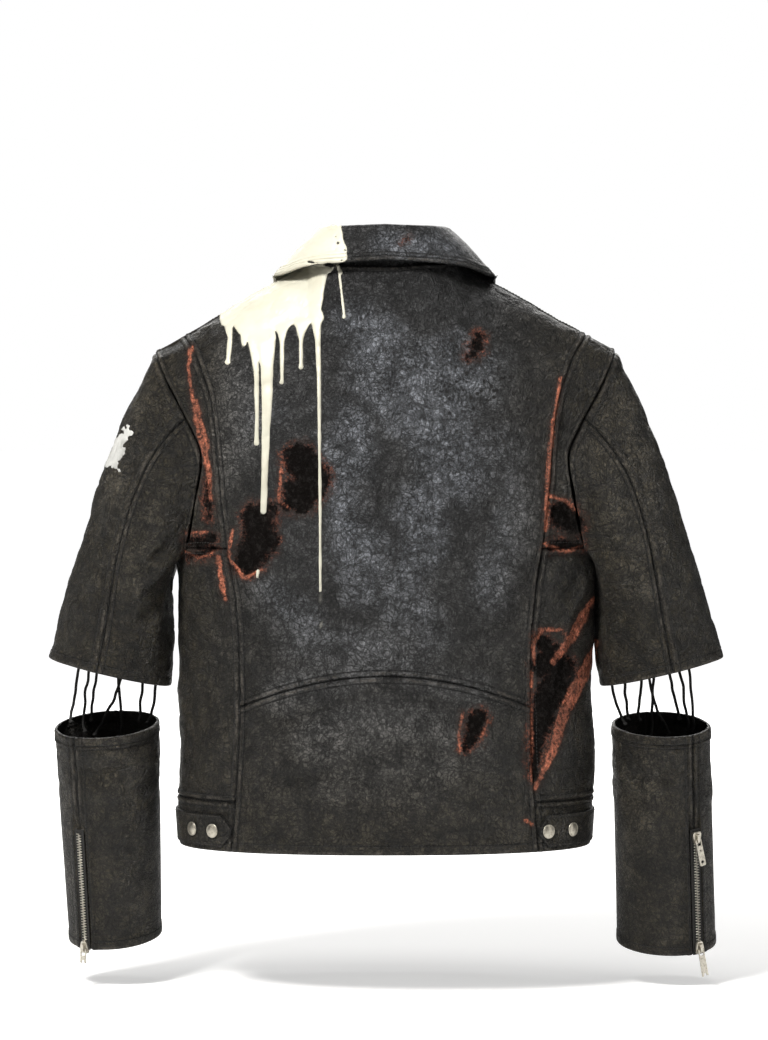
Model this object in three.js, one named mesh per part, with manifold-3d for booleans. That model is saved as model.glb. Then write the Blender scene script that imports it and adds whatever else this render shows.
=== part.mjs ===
// Worn leather biker jacket, filled out with no wearer.
// Millimetres. +Z up, the back faces -Y, the front faces +Y, +X is to the right as seen from behind.
// The origin is the centre of the neck opening, at the height of the back neck seam.
import * as THREE from 'three';
import { mergeVertices } from 'three/addons/utils/BufferGeometryUtils.js';
import Module from 'manifold-3d';

const wasm = await Module();
wasm.setup();

// ---------- driving dimensions ----------
const WALL = 2;                 // leather thickness
const SEAM_GAP = 0.4;           // clearance between two pieces at a seam
const ROUNDNESS = 2.3;          // superellipse power of a body section
const CURVE_START = -210;       // the body starts to close towards the shoulders above this height
const NECK_HALF = 75;           // half width of the neck opening
const NECK_POINT_Z = 4;         // height of the shoulder seam at the neck
const SHOULDER_SLOPE = 0.576;
const TIP_HALF = 229;           // half width at the sleeve head
const YOKE_HALF = 200;          // where the princess seam meets the shoulder seam
const FRONT_NECK_DROP = 60;
const GUSSET_Z = -277;          // seam across the foot of the action-back gusset
const BACK_ARM_Z = -278;
const FRONT_ARM_Z = -275;
const ARMPIT_DROP = 13;
const WAIST_EDGE_Z = -433;      // waist seam at the princess seam
const WAIST_RISE = 32;          // how far it rises to the centre back
const BAND_Z = -526;
const HEM_Z = -575;
const ZIP_SLOT = 5.5;           // half width of the slot between the fronts

const HEM_CENTRE = [276.5, 0, -403.5];
const HEM_RADIUS = [63, 58];
const SLEEVE_AXIS = [0.229, 0, -0.973];
const SLEEVE_ROWS = 8;
const BACK_SEAM_ANGLE = 82;     // where the back sleeve seam meets the sleeve hem

const FOREARM_ZIP_ANGLE = 55;   // seam and zip, from the outer side towards the back
const FOREARM_SEAM_ANGLE = -100;
const FOREARM_ROWS = 6;
const LACE_DIAMETER = 3;

// ---------- materials ----------
const finish = (color, roughness, metalness = 0) => () =>
  new THREE.MeshStandardMaterial({ color, roughness, metalness });
const leather = finish(0x2b2b2a, 0.55);
const tapeCloth = finish(0x141414, 0.9);
const metal = finish(0xc9c4b4, 0.3, 1);
const cordCloth = finish(0x0d0d0d, 0.8);

const jacket = new THREE.Group();

function addNode(name, geometry, material) {
  const mesh = new THREE.Mesh(geometry, material());
  mesh.name = name;
  jacket.add(mesh);
  return mesh;
}

// ---------- small maths ----------
const lerp = THREE.MathUtils.lerp;
const radians = THREE.MathUtils.degToRad;
const vec = (x, y, z) => new THREE.Vector3(x, y, z);

// A smooth curve through [key, value] stations.
function stations(list) {
  return (key) => {
    const last = list.length - 1;
    if (key <= list[0][0]) return list[0][1];
    if (key >= list[last][0]) return list[last][1];
    const i = list.findIndex((s) => s[0] > key) - 1;
    const [k0, v0] = list[i];
    const [k1, v1] = list[i + 1];
    const slope = (a, b) => (list[b][1] - list[a][1]) / (list[b][0] - list[a][0]);
    const m0 = i > 0 ? slope(i - 1, i + 1) : slope(i, i + 1);
    const m1 = i + 2 <= last ? slope(i, i + 2) : slope(i, i + 1);
    const span = k1 - k0;
    const t = (key - k0) / span;
    const rest = 1 - t;
    return v0 * (1 + 2 * t) * rest * rest + m0 * span * t * rest * rest
      + v1 * t * t * (3 - 2 * t) - m1 * span * t * t * rest;
  };
}

// ---------- body surface ----------
const halfWidth = stations([[-576, 205], [-520, 208], [-400, 207], [-290, 209], [-230, 213],
  [-190, 216], [-156, 222], [-120, 245], [-88, 290], [-40, 340], [80, 420]]);
const backDepth = stations([[-576, 117], [-480, 113], [-380, 108], [-280, 114], [-200, 117],
  [-100, 116], [100, 116]]);
const frontDepth = stations([[-576, 113], [-480, 110], [-380, 106], [-280, 112], [-200, 114],
  [-100, 110], [100, 104]]);
const princessX = stations([[-580, 151], [-523, 147], [-453, 143], [-367, 144], [-332, 147],
  [-277, 155], [-218, 162], [-139, 170], [-89, 186], [-68, YOKE_HALF]]);
const armholeBackX = stations([[BACK_ARM_Z, 196], [-226, 186], [-188, 181], [-157, 193],
  [-118, 214], [-84.7, TIP_HALF]]);
const armholeFrontX = stations([[FRONT_ARM_Z, 194], [-226, 182], [-188, 176], [-157, 187],
  [-118, 211], [-84.7, TIP_HALF]]);
const frontSideX = stations([[-576, 176], [-400, 178], [FRONT_ARM_Z, 194]]);

// Height of the shoulder ridge above a place x; over the neck it rises like a round neck base.
function ridgeZ(x) {
  const ax = Math.abs(x);
  if (ax < NECK_HALF) return 60 - (60 - NECK_POINT_Z) * (ax / NECK_HALF) ** 2;
  return NECK_POINT_Z - SHOULDER_SLOPE * (ax - NECK_HALF);
}

function bodyDepth(x, z, depth) {
  const t = Math.min(Math.abs(x) / halfWidth(z), 1);
  const rise = (z - CURVE_START) / (ridgeZ(x) - CURVE_START);
  if (rise > 0.9999) return 0;
  const q = Math.max(rise, 0);
  return depth(z) * (1 - t ** ROUNDNESS) ** (1 / ROUNDNESS) * Math.sqrt(1 - q * q);
}
const backPoint = (x, z) => vec(x, -bodyDepth(x, z, backDepth), z);
const frontPoint = (x, z) => vec(x, bodyDepth(x, z, frontDepth), z);

// Angle round a body section: 0 at centre back, 90 degrees at the side, 180 at centre front.
const sectionAngle = (x, z) => Math.asin(Math.min(x / halfWidth(z), 1) ** (ROUNDNESS / 2));
function sectionPoint(angle, z) {
  const s = Math.sin(angle) ** (2 / ROUNDNESS);
  const c = Math.cos(angle);
  const depth = c > 0 ? backDepth(z) : frontDepth(z);
  return vec(halfWidth(z) * s, -Math.sign(c) * depth * Math.abs(c) ** (2 / ROUNDNESS), z);
}

const waistZ = (x) => WAIST_EDGE_Z + WAIST_RISE * (1 - Math.min(Math.abs(x) / 144, 1) ** 2);
const backNeckZ = (x) => NECK_POINT_Z * (x / NECK_HALF) ** 2;
const frontNeckZ = (x) => NECK_POINT_Z
  - FRONT_NECK_DROP * Math.max(1 - (x / NECK_HALF) ** 2, 0) ** 0.8;

// ---------- cut walls: a grid of outer points, thickened inwards ----------
const panels = [];

// grid[row][column] of Vector3; outward is +1 when (along row) x (along column) faces out.
function panel(name, grid, outward, material = leather, wall = WALL) {
  panels.push({ name, grid, outward, material, wall });
}

function cellNormal(a, b, c, d) {
  return b.clone().sub(a).add(d.clone().sub(c)).cross(c.clone().sub(a).add(d.clone().sub(b)));
}

function vertexNormal(grid, r, c, outward) {
  const sum = vec(0, 0, 0);
  for (const [dr, dc] of [[0, 0], [-1, 0], [0, -1], [-1, -1]]) {
    const row = r + dr;
    const col = c + dc;
    if (row < 0 || col < 0 || row >= grid.length - 1 || col >= grid[0].length - 1) continue;
    sum.add(cellNormal(grid[row][col], grid[row][col + 1], grid[row + 1][col],
      grid[row + 1][col + 1]).normalize());
  }
  return sum.multiplyScalar(outward).normalize();
}

// Direction from a border vertex into its own panel; zero for an inner vertex.
function inwardStep(grid, r, c) {
  const rows = grid.length - 1;
  const cols = grid[0].length - 1;
  const step = vec(0, 0, 0);
  const towards = (row, col) => step.add(grid[row][col].clone().sub(grid[r][c]).normalize());
  if (r === 0) towards(1, c);
  if (r === rows) towards(rows - 1, c);
  if (c === 0) towards(r, 1);
  if (c === cols) towards(r, cols - 1);
  return step;
}

// Border vertices of neighbouring panels that share a place on a seam.
function collectSeams() {
  const places = [];
  for (const p of panels) {
    p.border = new Map();
    p.grid.forEach((row, r) => row.forEach((point, c) => {
      const step = inwardStep(p.grid, r, c);
      if (step.lengthSq() === 0) return;
      let place = places.find((q) => q.point.distanceToSquared(point) < 4e-4);
      if (!place) {
        place = { point, members: [] };
        places.push(place);
      }
      const member = { step: step.normalize(), normal: vertexNormal(p.grid, r, c, p.outward) };
      place.members.push(member);
      p.border.set(`${r},${c}`, { place, member });
    }));
  }
}

function seamFrame(p, r, c) {
  const entry = p.border.get(`${r},${c}`);
  if (!entry) return { normal: vertexNormal(p.grid, r, c, p.outward), shift: vec(0, 0, 0) };
  const { members } = entry.place;
  const normal = vec(0, 0, 0);
  members.forEach((m) => normal.add(m.normal));
  const shift = entry.member.step.clone();
  const others = members.filter((m) => m !== entry.member);
  others.forEach((m) => shift.addScaledVector(m.step, -1 / others.length));
  return { normal: normal.normalize(), shift: shift.normalize().multiplyScalar(SEAM_GAP * 0.6) };
}

// Closed body between two grids of the same size.
function shellGeometry(outer, inner) {
  const rows = outer.length;
  const cols = outer[0].length;
  const points = [...outer.flat(), ...inner.flat()];
  const out = (r, c) => r * cols + c;
  const inn = (r, c) => rows * cols + r * cols + c;
  const index = [];
  const quad = (a, b, c, d) => index.push(a, b, c, a, c, d);
  for (let r = 0; r < rows - 1; r += 1) {
    for (let c = 0; c < cols - 1; c += 1) {
      quad(out(r, c), out(r, c + 1), out(r + 1, c + 1), out(r + 1, c));
      quad(inn(r, c), inn(r + 1, c), inn(r + 1, c + 1), inn(r, c + 1));
    }
  }
  for (let c = 0; c < cols - 1; c += 1) {
    quad(out(0, c + 1), out(0, c), inn(0, c), inn(0, c + 1));
    quad(out(rows - 1, c), out(rows - 1, c + 1), inn(rows - 1, c + 1), inn(rows - 1, c));
  }
  for (let r = 0; r < rows - 1; r += 1) {
    quad(out(r, 0), out(r + 1, 0), inn(r + 1, 0), inn(r, 0));
    quad(out(r + 1, cols - 1), out(r, cols - 1), inn(r, cols - 1), inn(r + 1, cols - 1));
  }
  return facingOut(points, index);
}

function facingOut(points, index) {
  let volume = 0;
  for (let i = 0; i < index.length; i += 3) {
    const [a, b, c] = [points[index[i]], points[index[i + 1]], points[index[i + 2]]];
    volume += a.dot(b.clone().cross(c));
  }
  if (volume < 0) {
    for (let i = 0; i < index.length; i += 3) {
      [index[i + 1], index[i + 2]] = [index[i + 2], index[i + 1]];
    }
  }
  const geometry = new THREE.BufferGeometry();
  geometry.setAttribute('position',
    new THREE.Float32BufferAttribute(points.flatMap((p) => p.toArray()), 3));
  geometry.setIndex(index);
  return geometry;
}

function buildPanels() {
  collectSeams();
  for (const p of panels) {
    const frames = p.grid.map((row, r) => row.map((_, c) => seamFrame(p, r, c)));
    const outer = p.grid.map((row, r) => row.map((point, c) => point.clone().add(frames[r][c].shift)));
    const inner = outer.map((row, r) => row.map((point, c) =>
      point.clone().addScaledVector(frames[r][c].normal, -p.wall)));
    addNode(p.name, shellGeometry(outer, inner), p.material);
  }
}

// A grid moved out by a height over the surface; used for what lies on a panel.
function raised(grid, outward, height) {
  return grid.map((row, r) => row.map((point, c) =>
    point.clone().addScaledVector(vertexNormal(grid, r, c, outward), height)));
}

function layeredGeometry(grid, outward, low, high) {
  return shellGeometry(raised(grid, outward, high), raised(grid, outward, low));
}

const mirrorGrid = (grid) => grid.map((row) => row.map((p) => vec(-p.x, p.y, p.z)));

// The right-hand panel as built and the left-hand one mirrored.
function panelPair(name, grid, outward) {
  panel(`${name}_right`, grid, outward);
  panel(`${name}_left`, mirrorGrid(grid), -outward);
}

// ---------- body panels ----------
const SHOULDER_Z = ridgeZ(YOKE_HALF);
const TIP_Z = ridgeZ(TIP_HALF);
const NECK_X = [0, 27, 51, 66, 73, NECK_HALF];
const YOKE_X = [...NECK_X, 116.67, 158.33, YOKE_HALF];

// Heights on the princess seam; above CURVE_START they close up towards the shoulder.
const lowHeights = [WAIST_EDGE_Z, -394, -355, -316, GUSSET_Z, -243];
const domeHeights = [0, 1, 2, 3, 4, 5, 6].map((k) =>
  lerp(CURVE_START, SHOULDER_Z, Math.sin(radians(15 * k))));
const seamHeights = [...lowHeights, ...domeHeights];
const gussetHeights = seamHeights.filter((z) => z >= GUSSET_Z);
const climb = gussetHeights.map((z) => (z - GUSSET_Z) / (SHOULDER_Z - GUSSET_Z));
const sideHeights = [GUSSET_Z, -316, -355, -394, WAIST_EDGE_Z, -480, BAND_Z];
const bandHeights = [BAND_Z, -551, HEM_Z];

function backCentreGrid() {
  const columns = [...YOKE_X.slice(1).reverse().map((x) => -x), ...YOKE_X];
  return seamHeights.map((zSeam) => {
    const f = (zSeam - WAIST_EDGE_Z) / (SHOULDER_Z - WAIST_EDGE_Z);
    return columns.map((xTop) => {
      const share = xTop / YOKE_HALF;
      const zTop = Math.abs(xTop) < NECK_HALF ? backNeckZ(xTop) : ridgeZ(xTop);
      return backPoint(share * princessX(zSeam), lerp(waistZ(share * 144), zTop, f));
    });
  });
}

function backWaistGrid() {
  const columns = [...YOKE_X.slice(1).reverse().map((x) => -x), ...YOKE_X];
  const heights = [HEM_Z, -551, BAND_Z, -480, WAIST_EDGE_Z];
  return heights.map((zSeam) => {
    const f = (zSeam - HEM_Z) / (WAIST_EDGE_Z - HEM_Z);
    return columns.map((xTop) => {
      const share = xTop / YOKE_HALF;
      return backPoint(share * princessX(zSeam), lerp(HEM_Z, waistZ(share * 144), f));
    });
  });
}

const THIRDS = [0, 1 / 3, 2 / 3, 1];
const UNDERARM_STEPS = 6;

const armholeBack = climb.map((g) => lerp(BACK_ARM_Z, TIP_Z, g))
  .map((z) => backPoint(armholeBackX(z), z));
const armholeFront = climb.map((g) => lerp(FRONT_ARM_Z, TIP_Z, g))
  .map((z) => frontPoint(armholeFrontX(z), z));

function gussetGrid() {
  return gussetHeights.map((zSeam, r) => THIRDS.map((u) => {
    const edge = armholeBack[r];
    return backPoint(lerp(princessX(zSeam), edge.x, u), lerp(zSeam, edge.z, u));
  }));
}

// Angle and height along the top edge of the side panel: gusset seam, then under the arm.
const startAngle = sectionAngle(armholeBack[0].x, BACK_ARM_Z);
const endAngle = Math.PI - sectionAngle(armholeFront[0].x, FRONT_ARM_Z);
const underarm = Array.from({ length: UNDERARM_STEPS + 1 }, (_, k) => {
  const w = k / UNDERARM_STEPS;
  const z = lerp(BACK_ARM_Z, FRONT_ARM_Z, w) - ARMPIT_DROP * Math.sin(Math.PI * w);
  return { angle: lerp(startAngle, endAngle, w), z };
});
const gussetFoot = THIRDS.slice(0, 3).map((u) => {
  const x = lerp(princessX(GUSSET_Z), armholeBack[0].x, u);
  const z = lerp(GUSSET_Z, BACK_ARM_Z, u);
  return { angle: sectionAngle(x, z), z };
});
const sideTop = [...gussetFoot, ...underarm];
const sideShare = sideTop.map((p) => (p.angle - sideTop[0].angle) / (endAngle - sideTop[0].angle));

function sideColumn(zSeam, column, zHere) {
  const first = sectionAngle(princessX(zSeam), zHere);
  const last = Math.PI - sectionAngle(frontSideX(zHere), zHere);
  return sectionPoint(lerp(first, last, sideShare[column]), zHere);
}

function sidePanelGrid() {
  return sideHeights.map((zSeam) => {
    const f = (zSeam - GUSSET_Z) / (BAND_Z - GUSSET_Z);
    return sideTop.map((top, column) => (f === 0
      ? sectionPoint(top.angle, top.z)
      : sideColumn(zSeam, column, lerp(top.z, BAND_Z, f))));
  });
}

const sideBandGrid = () => bandHeights.map((z) => sideTop.map((_, column) => sideColumn(z, column, z)));

// Outer edge of a front, hem to shoulder tip, and the rows that start from it.
const frontRows = [
  ...[HEM_Z, -551, BAND_Z].map((z) => ({ edge: sideColumn(z, sideTop.length - 1, z), g: 0, z })),
  ...sideHeights.slice(1, -1).reverse().map((zSeam) => {
    const z = lerp(FRONT_ARM_Z, BAND_Z, (zSeam - GUSSET_Z) / (BAND_Z - GUSSET_Z));
    return { edge: sideColumn(zSeam, sideTop.length - 1, z), g: 0, z };
  }),
  ...climb.map((g, k) => ({ edge: armholeFront[k], g, z: FRONT_ARM_Z })),
];
const FRONT_X = [ZIP_SLOT, ...YOKE_X.slice(1), 209.67, 219.33, TIP_HALF];

function frontGrid() {
  return frontRows.map(({ edge, g, z }) => FRONT_X.map((xTop, column) => {
    if (column === FRONT_X.length - 1) return edge.clone();
    const u = (xTop - ZIP_SLOT) / (TIP_HALF - ZIP_SLOT);
    const x = g === 1 ? xTop : lerp(ZIP_SLOT, edge.x, u);
    const zTop = xTop < NECK_HALF ? frontNeckZ(xTop) : ridgeZ(xTop);
    return frontPoint(x, lerp(z, zTop, g));
  }));
}

panel('back_centre', backCentreGrid(), 1);
panel('back_waist', backWaistGrid(), 1);
panelPair('gusset', gussetGrid(), 1);
panelPair('side_panel', sidePanelGrid(), -1);
panelPair('side_band', sideBandGrid(), -1);
panelPair('front', frontGrid(), -1);

// ---------- sleeves ----------
// Armhole ring from the shoulder tip down the back, under the arm and up the front.
const ring = [
  ...armholeBack.slice().reverse(),
  ...underarm.slice(1, -1).map((p) => sectionPoint(p.angle, p.z)),
  ...armholeFront,
];
const BACK_SEAM = 4;
const GUSSET_CORNER = 8;
const FRONT_CORNER = 14;
const FRONT_SEAM = 17;

// Hem angle of each ring point, shared out by arc length between four fixed places.
function ringAngles() {
  const marks = [[0, 0], [BACK_SEAM, BACK_SEAM_ANGLE], [GUSSET_CORNER, 140], [FRONT_CORNER, 220],
    [ring.length - 1, 360]];
  const travel = [0];
  for (let i = 1; i < ring.length; i += 1) travel.push(travel[i - 1] + ring[i].distanceTo(ring[i - 1]));
  return ring.map((_, i) => {
    const m = Math.max(1, marks.findIndex(([k]) => k >= i));
    const [i0, a0] = marks[m - 1];
    const [i1, a1] = marks[m];
    return lerp(a0, a1, (travel[i] - travel[i0]) / (travel[i1] - travel[i0]));
  });
}

// How far from straight down the sleeve leaves the armhole, by hem angle.
const leaveSlope = stations([[0, 25], [45, 38], [90, 52], [140, 42], [180, 6]]);

function sleevePoint(start, angle, t) {
  const across = vec(-SLEEVE_AXIS[2], 0, SLEEVE_AXIS[0]);
  const end = vec(...HEM_CENTRE)
    .addScaledVector(across, HEM_RADIUS[0] * Math.cos(radians(angle)))
    .add(vec(0, -HEM_RADIUS[1] * Math.sin(radians(angle)), 0));
  const reach = start.distanceTo(end) / 3;
  const slope = radians(leaveSlope(angle > 180 ? 360 - angle : angle));
  const leave = vec(Math.sin(slope), -0.15 * Math.sin(radians(angle)), -Math.cos(slope));
  const p1 = start.clone().addScaledVector(leave.normalize(), reach);
  const p2 = end.clone().addScaledVector(vec(...SLEEVE_AXIS), -reach);
  return new THREE.CubicBezierCurve3(start, p1, p2, end).getPoint(t);
}

function sleeveGrid(first, last) {
  const angles = ringAngles();
  const count = ring.length - 1;
  return Array.from({ length: SLEEVE_ROWS + 1 }, (_, row) =>
    Array.from({ length: last - first + 1 }, (_unused, k) => {
      const i = (first + k) % count;
      return sleevePoint(ring[i], angles[i], row / SLEEVE_ROWS);
    }));
}

panelPair('under_sleeve', sleeveGrid(BACK_SEAM, FRONT_SEAM), 1);
panelPair('top_sleeve', sleeveGrid(FRONT_SEAM, ring.length - 1 + BACK_SEAM), 1);

// ---------- collar ----------
// Places round the neck: negative x first, from one front end round the back to the other.
const collarX = [ZIP_SLOT, ...NECK_X.slice(1)];
const frontHalf = collarX.map((x) => ({ x, front: true }));
const backHalf = NECK_X.slice(0, -1).reverse().map((x) => ({ x, front: false }));
const rightHalf = [...frontHalf, ...backHalf];
const collarPlaces = [
  ...rightHalf.map((p) => ({ ...p, x: -p.x })),
  ...rightHalf.slice(0, -1).reverse(),
];

const collarTurn = ({ x, front }) => {
  const a = Math.asin(Math.abs(x) / NECK_HALF);
  return (front ? Math.PI - a : a) * (Math.sign(x) || 1);
};

function collarFrame(place) {
  const turn = collarTurn(place);
  const away = Math.abs(turn) / Math.PI;
  const seam = place.front ? frontPoint(place.x, frontNeckZ(place.x)) : backPoint(place.x, backNeckZ(place.x));
  const out = vec(Math.sin(turn), -Math.cos(turn), 0);
  const height = stations([[0, 37], [0.5, 32], [1, 26]])(away);
  const lean = stations([[0, 9], [0.5, 13], [1, 4]])(away);
  const fold = seam.clone().addScaledVector(out, -lean).add(vec(0, 0, height));
  return { seam, out, fold, away, side: Math.sign(turn) || 1 };
}

const COLLAR_CLEAR = 6.5;
function clearOfBody(p) {
  const depth = p.y > 0 ? frontDepth : backDepth;
  const least = bodyDepth(p.x, p.z - COLLAR_CLEAR, depth) + COLLAR_CLEAR;
  if (least === COLLAR_CLEAR) return p;
  return vec(p.x, Math.sign(p.y || 1) * Math.max(Math.abs(p.y), least), p.z);
}

// Outer edge of the fall: round the back and shoulder, then down to the collar points.
const edgeX = stations([[0, 0], [0.12, 41], [0.24, 76], [0.36, 100], [0.5, 111], [0.64, 107],
  [0.76, 97], [0.88, 80], [1, 58]]);
const edgeZ = stations([[0, 6], [0.24, 1], [0.36, -6], [0.5, -11], [0.64, -40], [0.76, -72],
  [0.88, -98], [1, -118]]);
function fallEdge({ away, side }) {
  const x = edgeX(away) * side;
  const z = edgeZ(away);
  if (away <= 0.5) return vec(x, -86 * Math.cos(away * Math.PI), z);
  return clearOfBody(vec(x, 1, z));
}

function standGrid() {
  return [0, 0.33, 0.67, 1].map((t) => collarPlaces.map((place) => {
    const { seam, fold } = collarFrame(place);
    return seam.clone().add(vec(0, 0, 0.7)).lerp(fold, t);
  }));
}

function fallGrid() {
  const frames = collarPlaces.map(collarFrame);
  const roll = [[-2, 2.8], [1.5, 3.6], [5.5, 1.2]];
  const rollRows = roll.map(([out, up]) => frames.map((f) =>
    f.fold.clone().addScaledVector(f.out, out).add(vec(0, 0, up))));
  const leafRows = [0.25, 0.5, 0.75, 1].map((t) => frames.map((f, k) =>
    clearOfBody(rollRows[2][k].clone().lerp(fallEdge(f), t)
      .add(vec(0, 0, 2 * Math.sin(Math.PI * t))))));
  return [...rollRows, ...leafRows];
}

// ---------- forearms ----------
// Each forearm is a straight tapered tube, its top leaning back and its foot forward.
// radius is [across, front to back]; roll tips the rims down on the outer side.
const forearms = {
  left: { side: -1, top: [-278, -8, -456], foot: [-273, 38, -674], radius: [[52.5, 48], [47, 44]], roll: 3 },
  right: { side: 1, top: [276, -8, -456], foot: [285, 38, -680], radius: [[48.5, 46], [50, 46]], roll: 3 },
};

// A point of a forearm: angle 0 is the outer side, 90 the back; t runs from rim to hem.
function forearmPoint(arm, angle, t, raise = 0) {
  const top = vec(...arm.top);
  const foot = vec(...arm.foot);
  const axis = foot.clone().sub(top).normalize();
  const outer = vec(arm.side, 0, 0).addScaledVector(axis, -axis.x * arm.side).normalize();
  outer.addScaledVector(axis, Math.tan(radians(arm.roll))).normalize();
  const back = vec(0, -1, 0).addScaledVector(axis, axis.y).normalize();
  const a = radians(angle);
  const across = lerp(arm.radius[0][0], arm.radius[1][0], t) + raise;
  const deep = lerp(arm.radius[0][1], arm.radius[1][1], t) + raise;
  return top.lerp(foot, t).addScaledVector(outer, across * Math.cos(a))
    .addScaledVector(back, deep * Math.sin(a));
}

function forearmGrid(arm, from, to, columns) {
  return Array.from({ length: FOREARM_ROWS + 1 }, (_, row) =>
    Array.from({ length: columns + 1 }, (_unused, k) =>
      forearmPoint(arm, lerp(from, to, k / columns), row / FOREARM_ROWS)));
}

for (const [name, arm] of Object.entries(forearms)) {
  const outward = arm.side;
  panel(`forearm_outer_${name}`, forearmGrid(arm, FOREARM_SEAM_ANGLE, FOREARM_ZIP_ANGLE, 8), outward);
  panel(`forearm_inner_${name}`,
    forearmGrid(arm, FOREARM_ZIP_ANGLE, FOREARM_SEAM_ANGLE + 360, 11), outward);
}

// ---------- build the cloth ----------
buildPanels();
addNode('collar_stand', layeredGeometry(standGrid(), 1, -WALL, 0), leather);
addNode('collar_fall', layeredGeometry(fallGrid(), -1, -WALL, 0), leather);

// ---------- waist adjuster tabs and snaps ----------
const TAB_Z = [-571, -555, -539];
const TAB_TIP_X = 155;
const TAB_LIFT = 0.6;
const TAB_WALL = 2;
const SNAP_RADIUS = 7;
const snapX = { left: { outer: 188, inner: 168 }, right: { outer: 183, inner: 159 } };

function bandPoint(x, z, height) {
  const p = backPoint(x, z);
  const slope = sectionPoint(sectionAngle(x, z) + 0.01, z).sub(p).normalize();
  return { point: p.addScaledVector(vec(slope.y, -slope.x, 0), height), across: slope };
}

function tabGrid(side) {
  return TAB_Z.map((z) => {
    const tip = bandPoint(TAB_TIP_X + (z === TAB_Z[1] ? 0 : 5), z, 0).point;
    const rest = sideTop.map((_, column) => sideColumn(z, column, z)).slice(1);
    const reach = [tip, ...rest.filter((p) => p.x > TAB_TIP_X + 8 || p.y > 0)];
    return reach.map((p) => vec(p.x * side, p.y, p.z));
  });
}

const snapProfile = [[0, 0], [SNAP_RADIUS - 0.6, 0], [SNAP_RADIUS, 0.6], [SNAP_RADIUS - 0.4, 1.3],
  [SNAP_RADIUS * 0.6, 2.1], [0, 2.4]].map(([r, h]) => new THREE.Vector2(r, h));

function layOnSurface(mesh, origin, across, up, out) {
  mesh.position.copy(origin);
  mesh.setRotationFromMatrix(new THREE.Matrix4().makeBasis(across, up, out));
}

for (const [name, side] of [['left', -1], ['right', 1]]) {
  addNode(`adjuster_tab_${name}`,
    layeredGeometry(tabGrid(side), side, TAB_LIFT, TAB_LIFT + TAB_WALL), leather);
  for (const [place, x] of Object.entries(snapX[name])) {
    const seat = bandPoint(x, TAB_Z[1], TAB_LIFT + TAB_WALL + 0.7);
    const out = vec(seat.across.y * side, -seat.across.x, 0);
    const geometry = new THREE.LatheGeometry(snapProfile, 20).rotateX(Math.PI / 2);
    const snap = addNode(`snap_${name}_${place}`, geometry, metal);
    const across = vec(0, 0, 1).cross(out);
    layOnSurface(snap, seat.point.multiply(vec(side, 1, 1)), across, vec(0, 0, 1), out);
  }
}

// ---------- zips ----------
const TAPE = { half: 6, low: 0.4, high: 1.4 };
const CHAIN = { half: 2.7, low: 1.7, high: 3.5 };
const zips = {
  left: { arm: forearms.left, from: 0.44, chainTo: 0.955, sliders: [{ end: 'bottom', t: 0.985 }] },
  right: { arm: forearms.right, from: 0.435, chainTo: 0.93,
    sliders: [{ end: 'top', t: 0.462 }, { end: 'bottom', t: 0.965 }] },
};

// A strip of a forearm's surface along the zip seam, sampled where the panels are.
function zipStrip(arm, half, from, to) {
  const radius = arm.radius[0][0];
  const turn = THREE.MathUtils.radToDeg(half / radius);
  const rows = [from, ...[3, 4, 5].map((k) => k / FOREARM_ROWS).filter((t) => t > from && t < to), to];
  return rows.map((t) => [-turn, 0, turn].map((d) => forearmPoint(arm, FOREARM_ZIP_ANGLE + d, t)));
}

// Across, up and outward directions of the surface at a place on the zip.
function zipFrame(arm, t, height) {
  const at = (angle, share) => forearmPoint(arm, FOREARM_ZIP_ANGLE + angle, share);
  const across = at(-arm.side, t).sub(at(arm.side, t)).normalize();
  const up = at(0, t - 0.01).sub(at(0, t + 0.01)).normalize();
  const out = across.clone().cross(up).normalize();
  const square = up.clone().cross(out).normalize();
  return { origin: at(0, t).addScaledVector(out, height), across: square, up, out };
}

// ---------- slider and pull tab ----------
const SLIDER = { length: 12, wide: 10, narrow: 7.4, thick: 2.6 };
const BRIDGE = { width: 2.4, half: 4.6, height: 5.4, slot: 2.6, slotLow: 2.9, slotHigh: 4.5 };
const BAR = { radius: 0.5, up: -1.5, height: 3.7 };
const LOOP = { inner: 2.3, outer: 3.5, reach: 6.5 };
const PULL_THICK = 1.2;

const outline = (points) => new THREE.Shape(points.map(([x, y]) => new THREE.Vector2(x, y)));

function solidOf(geometry) {
  const bare = geometry.clone();
  bare.deleteAttribute('normal');
  bare.deleteAttribute('uv');
  const merged = mergeVertices(bare, 1e-4);
  const triVerts = new Uint32Array(merged.index
    ? merged.index.array : merged.attributes.position.array.map((_, i) => i));
  return new wasm.Manifold(new wasm.Mesh({
    numProp: 3, vertProperties: new Float32Array(merged.attributes.position.array), triVerts,
  }));
}

function geometryOf(solid) {
  const mesh = solid.getMesh();
  const geometry = new THREE.BufferGeometry();
  geometry.setAttribute('position', new THREE.Float32BufferAttribute(mesh.vertProperties, 3));
  geometry.setIndex([...mesh.triVerts]);
  return geometry;
}

const flatPlate = (points, thick, holes = []) => {
  const shape = outline(points);
  holes.forEach(({ y, rx, ry }) => {
    const hole = new THREE.Path();
    hole.absellipse(0, y, rx, ry, 0, Math.PI * 2, true);
    shape.holes.push(hole);
  });
  return new THREE.ExtrudeGeometry(shape, { depth: thick, bevelEnabled: false, curveSegments: 6 });
};

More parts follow.
